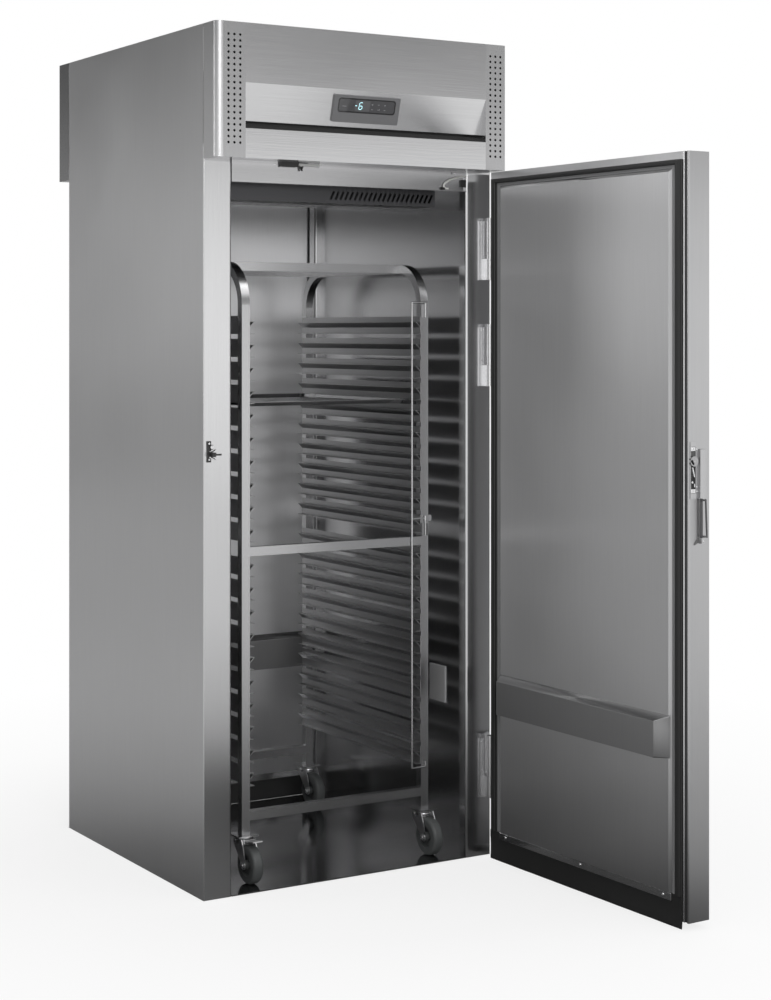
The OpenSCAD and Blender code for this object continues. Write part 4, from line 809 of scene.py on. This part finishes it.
# Latch on each door's free edge: a zinc cam on a stud in front of a bright plate, with the lock case let
# into the plate: blackened base, folded end tabs, cover, slanted lever, spring and screws.
def edge_plate(end, outline, v, z, u, thick, chamfer=0.25):
    """Pressed plate on a door's free edge, centred at v and z, standing out from u."""
    out, across, up = door_frame(end)[1]
    return pressed(outline, thick, chamfer, in_door(end, u, v, z), across, up, out)


def edge_screw(end, u, v, z, r, h):
    """Screw of radius r and height h driven into a door's free edge at u, v and z."""
    return screw(in_door(end, u, v, z), door_frame(end)[1][0], r, h)


handle_steel = sheet_steel("handle steel", 0.50, (60, 60, 20), 0.34, contrast=0.05, drawn=0.8)
dress(handle_steel, "front_handle_base", "rear_handle_base")
dress(sheet_steel("cam zinc", 0.40, (60, 60, 60), 0.3, contrast=0.1), "front_latch_claw", "rear_latch_claw")
case_black = moulded("case black", (0.02, 0.02, 0.02), 0.4, metal=0.3)
cover_grey = moulded("cover grey", (0.11, 0.11, 0.11), 0.5, metal=0.5)
lever_line = np.array([
    (-3.4, 11), (-0.6, 12), (2.2, 2), (5.4, -10), (5.2, -14), (2.8, -14), (1.6, -8), (-1.8, 2)])
EDGE_U, CASE_U, CASE_V = 868.0, 869.3, 3.5
TAB_HIGH, TAB_LOW = 1226, 1119
for end in ENDS:
    case = [
        edge_plate(end, round_outline(15.4, 118, 0.8), CASE_V, 1172.5, EDGE_U + 0.85, 0.5, 0.15),
        edge_plate(end, round_outline(8, 40, 2), 1.5, 1155, CASE_U, 0.9),
        edge_plate(end, round_outline(3.4, 30, 1), 8.6, 1160, CASE_U, 1.3)]
    make_piece(f"{end}_lock_case", case, case_black, f"{end}_door")
    bright = [
        edge_plate(end, round_outline(15, 10, 1), CASE_V, TAB_HIGH, CASE_U, 1.5),
        edge_plate(end, round_outline(15, 10, 1), CASE_V, TAB_LOW, CASE_U, 1.5),
        edge_plate(end, lever_line, CASE_V, 1168, 870.2, 0.8, 0.2),
        edge_plate(end, round_outline(6, 6, 2.6), 1.0, 1141, 870.1, 0.8),
        edge_plate(end, round_outline(3, 9, 1), 8.4, 1133, 869.4, 1.4)]
    for v, z in ((CASE_V, TAB_HIGH), (CASE_V, TAB_LOW), (1.0, 1141)):
        bright.append(edge_screw(end, 870.7, v, z, 2.5, 0.9))
    for z in (1224, 1129, 1117):
        bright.append(edge_screw(end, EDGE_U, 18.4, z, 3.2, 1.8))
    make_piece(f"{end}_lock_fittings", bright, zinc, f"{end}_door")
    lock_cover = edge_plate(end, round_outline(14.6, 12.5, 0.8), CASE_V, 1214, CASE_U, 1.1)
    make_piece(f"{end}_lock_cover", [lock_cover], cover_grey, f"{end}_door")

# Pull grips: a moulded bar on a vertical steel pin in the housing, joined to a thin leaning front bar by a
# link at each end; a leaf-shaped moulded tab and two screws sit below.
PIN_V, LEAN = 26.5, 4.0


def carried(end, section, u, v, swell, z):
    """Section about u, v of a door, carried up through the heights z and scaled by swell at each."""
    return loft(in_door(end, u + section[:, 0] * swell, v + section[:, 1] * swell, z))


def grip_shapes(end):
    """Two bars, each a round-cornered section that swells and ends rounded, two links and the pin. The front
    bar leans in by LEAN over its height."""
    z = np.array([1000.2, 1001.0, 1003.0, 1025.0, 1050.0, 1075.0, 1096.0, 1098.0, 1098.8])[:, None]
    swell = np.array([0.72, 0.9, 0.97, 1.0, 1.02, 1.0, 0.97, 0.9, 0.72])[:, None]
    front_v = 35.4 - LEAN * (z - 1000) / 99
    shapes = [
        carried(end, round_outline(6.5, 9.0, 3.0), 874.8, PIN_V, swell, z),
        carried(end, round_outline(5.0, 3.7, 1.6), 886.5, front_v, swell, z)]
    for low, v in ((1001.0, 34.6), (1093.5, 31.6)):
        link = np.array([
            (872, 23.5), (877, 22.5), (888.5, v - 1.8), (888.5, v + 1.2), (884, v + 1.4), (872, 30.5)])
        rings = np.array([low, low + 0.8, low + 3.6, low + 4.4])[:, None]
        draw = np.array([0.9, 1.0, 1.0, 0.9])[:, None]
        middle = link.mean(0)
        shapes.append(carried(end, link - middle, *middle, draw, rings))
    pin_z = np.array([989.2, 1000.4, 1098.6, 1109.8])[:, None]
    shapes.append(carried(end, round_outline(6, 6, 2.95), 875, PIN_V, 1.0, pin_z))
    return shapes


grip_plastic = moulded("grip plastic", (0.085, 0.085, 0.088), 0.34)
for end in ENDS:
    grip = make_piece(
        f"{end}_pull_grip", grip_shapes(end), grip_plastic, f"{end}_handle", 50)
    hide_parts(f"{end}_handle_grip")
tab_plastic = moulded("tab plastic", (0.14, 0.14, 0.14), 0.4)
leaf = np.array([(5, 8), (7, 4), (5.6, -1), (1, -6), (-5, -9.5), (-9, -10), (-8, -6), (-4, -1), (0, 4)])
for end in ENDS:
    tab = edge_plate(end, leaf, 16.5, 991, EDGE_U + 0.05, 2.2, 0.5)
    make_piece(f"{end}_handle_tab", [tab], tab_plastic, f"{end}_door")
    handle_screws = [
        edge_screw(end, EDGE_U, 39.0, 990.0, 3.4, 2.0), edge_screw(end, EDGE_U + 14, 28.0, 991.5, 2.8, 1.2)]
    make_piece(f"{end}_handle_screws", handle_screws, screw_steel, f"{end}_door")

# Trolley: bent and welded square tube, satin polished, with runners folded from sheet and spot-welded
# between the posts. A bright rod in front of the runners keeps the trays in.
trolley_steel = sheet_steel("trolley steel", 0.50, (80, 80, 80), 0.25, contrast=0.06)
dress(trolley_steel, "trolley_side_frames", "trolley_crossbars")
dress(sheet_steel("runner steel", 0.43, (300, 5, 300), 0.32), "left_runners", "right_runners")
rod_steel = sheet_steel("rod steel", 0.56, (80, 80, 20), 0.2, contrast=0.05)
dress(rod_steel, "stop_rod")

# Catch of the stop rod, in bright steel: a folded channel and a keeper plate are welded to the front post,
# and the rod's flat stay ends in a hub whose pin stands in the channel.
POST_FACE = -362.1
fold_x, fold_y = np.array([
    (289.5, POST_FACE), (289.5, -371), (291.3, -371), (291.3, -363.9),
    (308.2, -363.9), (308.2, -371), (310, -371), (310, POST_FACE)]).T
fold_z = np.array([928.0, 965.0])[:, None]
channel = loft(np.stack(np.broadcast_arrays(fold_x, fold_y, fold_z), -1))
keeper = pressed(round_outline(17.5, 19, 3), 1.6, 0.6, (317.8, POST_FACE, 979.5), EAST, UP, SOUTH)
make_piece("rod_catch", [channel, keeper], trolley_steel, "trolley", 30)
ROD_X, HUB_X, HUB_Y, HUB_Z = 257.5, 303.5, -366.5, 980
stay_y, stay_z = round_outline(3.2, 5.0, 1.0).T
stay_x = np.array([ROD_X, HUB_X])[:, None]
stay = loft(np.stack(np.broadcast_arrays(stay_x, HUB_Y + stay_y, HUB_Z + stay_z), -1))
hub_profile = [(2.2, -50), (2.2, -8), (3.6, -8), (4.0, -7.4), (4.0, 7.4), (3.4, 8)]
hub = turned(hub_profile, (HUB_X, HUB_Y, HUB_Z), UP)
make_piece("rod_stay", [stay, hub], rod_steel, "stop_rod", 30)

# Serving tray: one sheet of dull steel, pressed to a flat hung rim, rounded corners and sloping walls. It
# lies on a pair of runners by its rim.
TRAY_W, TRAY_L, TRAY_MID = 551.6, 652, (10, -4)
TRAY_TOP, TRAY_DEPTH, TRAY_THICK = 1327.3, 11.0, 1.2


def tray_shape():
    """Rings of round-cornered rectangles (inset, z): from the bottom up the sloping wall and out over the
    rim, then back the same way underneath, one thickness away."""
    rim, floor_z = TRAY_TOP - TRAY_THICK, TRAY_TOP - TRAY_DEPTH
    under_z = floor_z - TRAY_THICK
    top = [
        (140, floor_z), (24, floor_z), (21, floor_z + 1.2),
        (16.5, TRAY_TOP - 0.8), (14, TRAY_TOP), (0, TRAY_TOP)]
    under = [(0, rim), (14, rim), (15.5, rim - 0.8), (19.8, under_z + 1.2), (23, under_z), (140, under_z)]
    rings = []
    for inset, z in top + under:
        corner = max(34 - inset, 6)
        outline = round_outline(TRAY_W - 2 * inset, TRAY_L - 2 * inset, corner, 6) + TRAY_MID
        rings.append(np.column_stack([outline, np.full(len(outline), z)]))
    return loft(rings)


tray_steel = sheet_steel("tray steel", 0.30, (8, 200, 200), 0.26, smudge=0.2)
tray = make_piece("pressed_tray", [tray_shape()], tray_steel, "tray")
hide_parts("serving_tray")

# Casters: zinc-plated forks that swivel on a ball bearing under the trolley's posts, grey rubber wheels on
# bolted axles, and a locking pedal on the first one.
caster_zinc = sheet_steel("caster zinc", 0.60, (60, 60, 60), 0.28, contrast=0.1)
wheel_rubber = moulded("wheel rubber", (0.085, 0.09, 0.09), 0.5, 300.0)
dress(caster_zinc, "brake_pedal")
CASTER_X, CASTER_Y, TROLLEY_MID = 293.5, 343.5, (10, -6)
TRAIL, AXLE_Z = -39.0, 56.3
bearing = [(24.4, 114.5), (25.4, 116.0), (25.4, 118.4), (24.4, 120.0)]
race = [(22.0, 108.4), (23.2, 109.6), (23.2, 111.6)]
washer = [(9.6, 0), (9.6, 1.0), (9.0, 1.3)]
axle_end = [(4.2, 0), (4.2, 1.6), (3.4, 2.2), (1.0, 2.3)]
for number, (east, north) in enumerate(((-1, -1), (1, -1), (-1, 1), (1, 1)), 1):
    dress(caster_zinc, f"caster_fork_{number}")
    dress(wheel_rubber, f"caster_wheel_{number}")
    head = np.array([TROLLEY_MID[0] + east * CASTER_X, TROLLEY_MID[1] + north * CASTER_Y, 0])
    axle = head + (0, TRAIL, AXLE_Z)
    fittings = [turned(bearing, head, UP, 32), turned(race, head, UP, 32)]
    for way in (-1.0, 1.0):
        fittings.append(turned(washer, axle + (way * 22.2, 0, 0), (way, 0, 0), 24))
        fittings.append(turned(axle_end, axle + (way * 26.9, 0, 0), (way, 0, 0), 16))
    make_piece(f"caster_fittings_{number}", fittings, zinc, f"fork_{number}")

# Refrigeration unit, set on the chamber roof: a foamed evaporator box, and behind it a base of zinc-coated
# sheet that carries the black compressor, the finned coil in its shroud and the electrical box.
zinc_sheet = sheet_steel("zinc sheet", 0.42, (40, 40, 40), 0.4, contrast=0.3)
dress(zinc_sheet, "condenser_shroud", "unit_base", "electrical_box", "fan_motors")
dress(sheet_steel("coil metal", 0.7, (300, 5, 5), 0.35), "evaporator_coil", "condenser_coil")
dress(sheet_steel("copper", (0.7, 0.36, 0.22), (60, 60, 60), 0.35), "pipework")
dress(moulded("housing", (0.78, 0.78, 0.76), 0.6), "evaporator_box")
dress(moulded("unit black", (0.02, 0.02, 0.02), 0.5), "evaporator_fan", "condenser_fan", "compressor")

# Lid of the evaporator box: a tray folded from zinc-coated sheet, slipped over the foamed housing and held
# by six screws.
LID_Y, LID_FOOT, LID_RISE = -277.5, 2232, 29.4
lid = pressed(round_outline(623, 258, 5), LID_RISE, 1.8, (0, LID_Y, LID_FOOT), EAST, NORTH, UP)
make_piece("evaporator_lid", [lid], zinc_sheet, "cabinet", 30)
lid_screws = [
    screw((x, y, LID_FOOT + LID_RISE), UP, 4.2, 2.4)
    for x in (-296, 0, 296) for y in (LID_Y - 115.5, LID_Y + 115.5)]
make_piece("lid_screws", lid_screws, screw_steel, "cabinet")
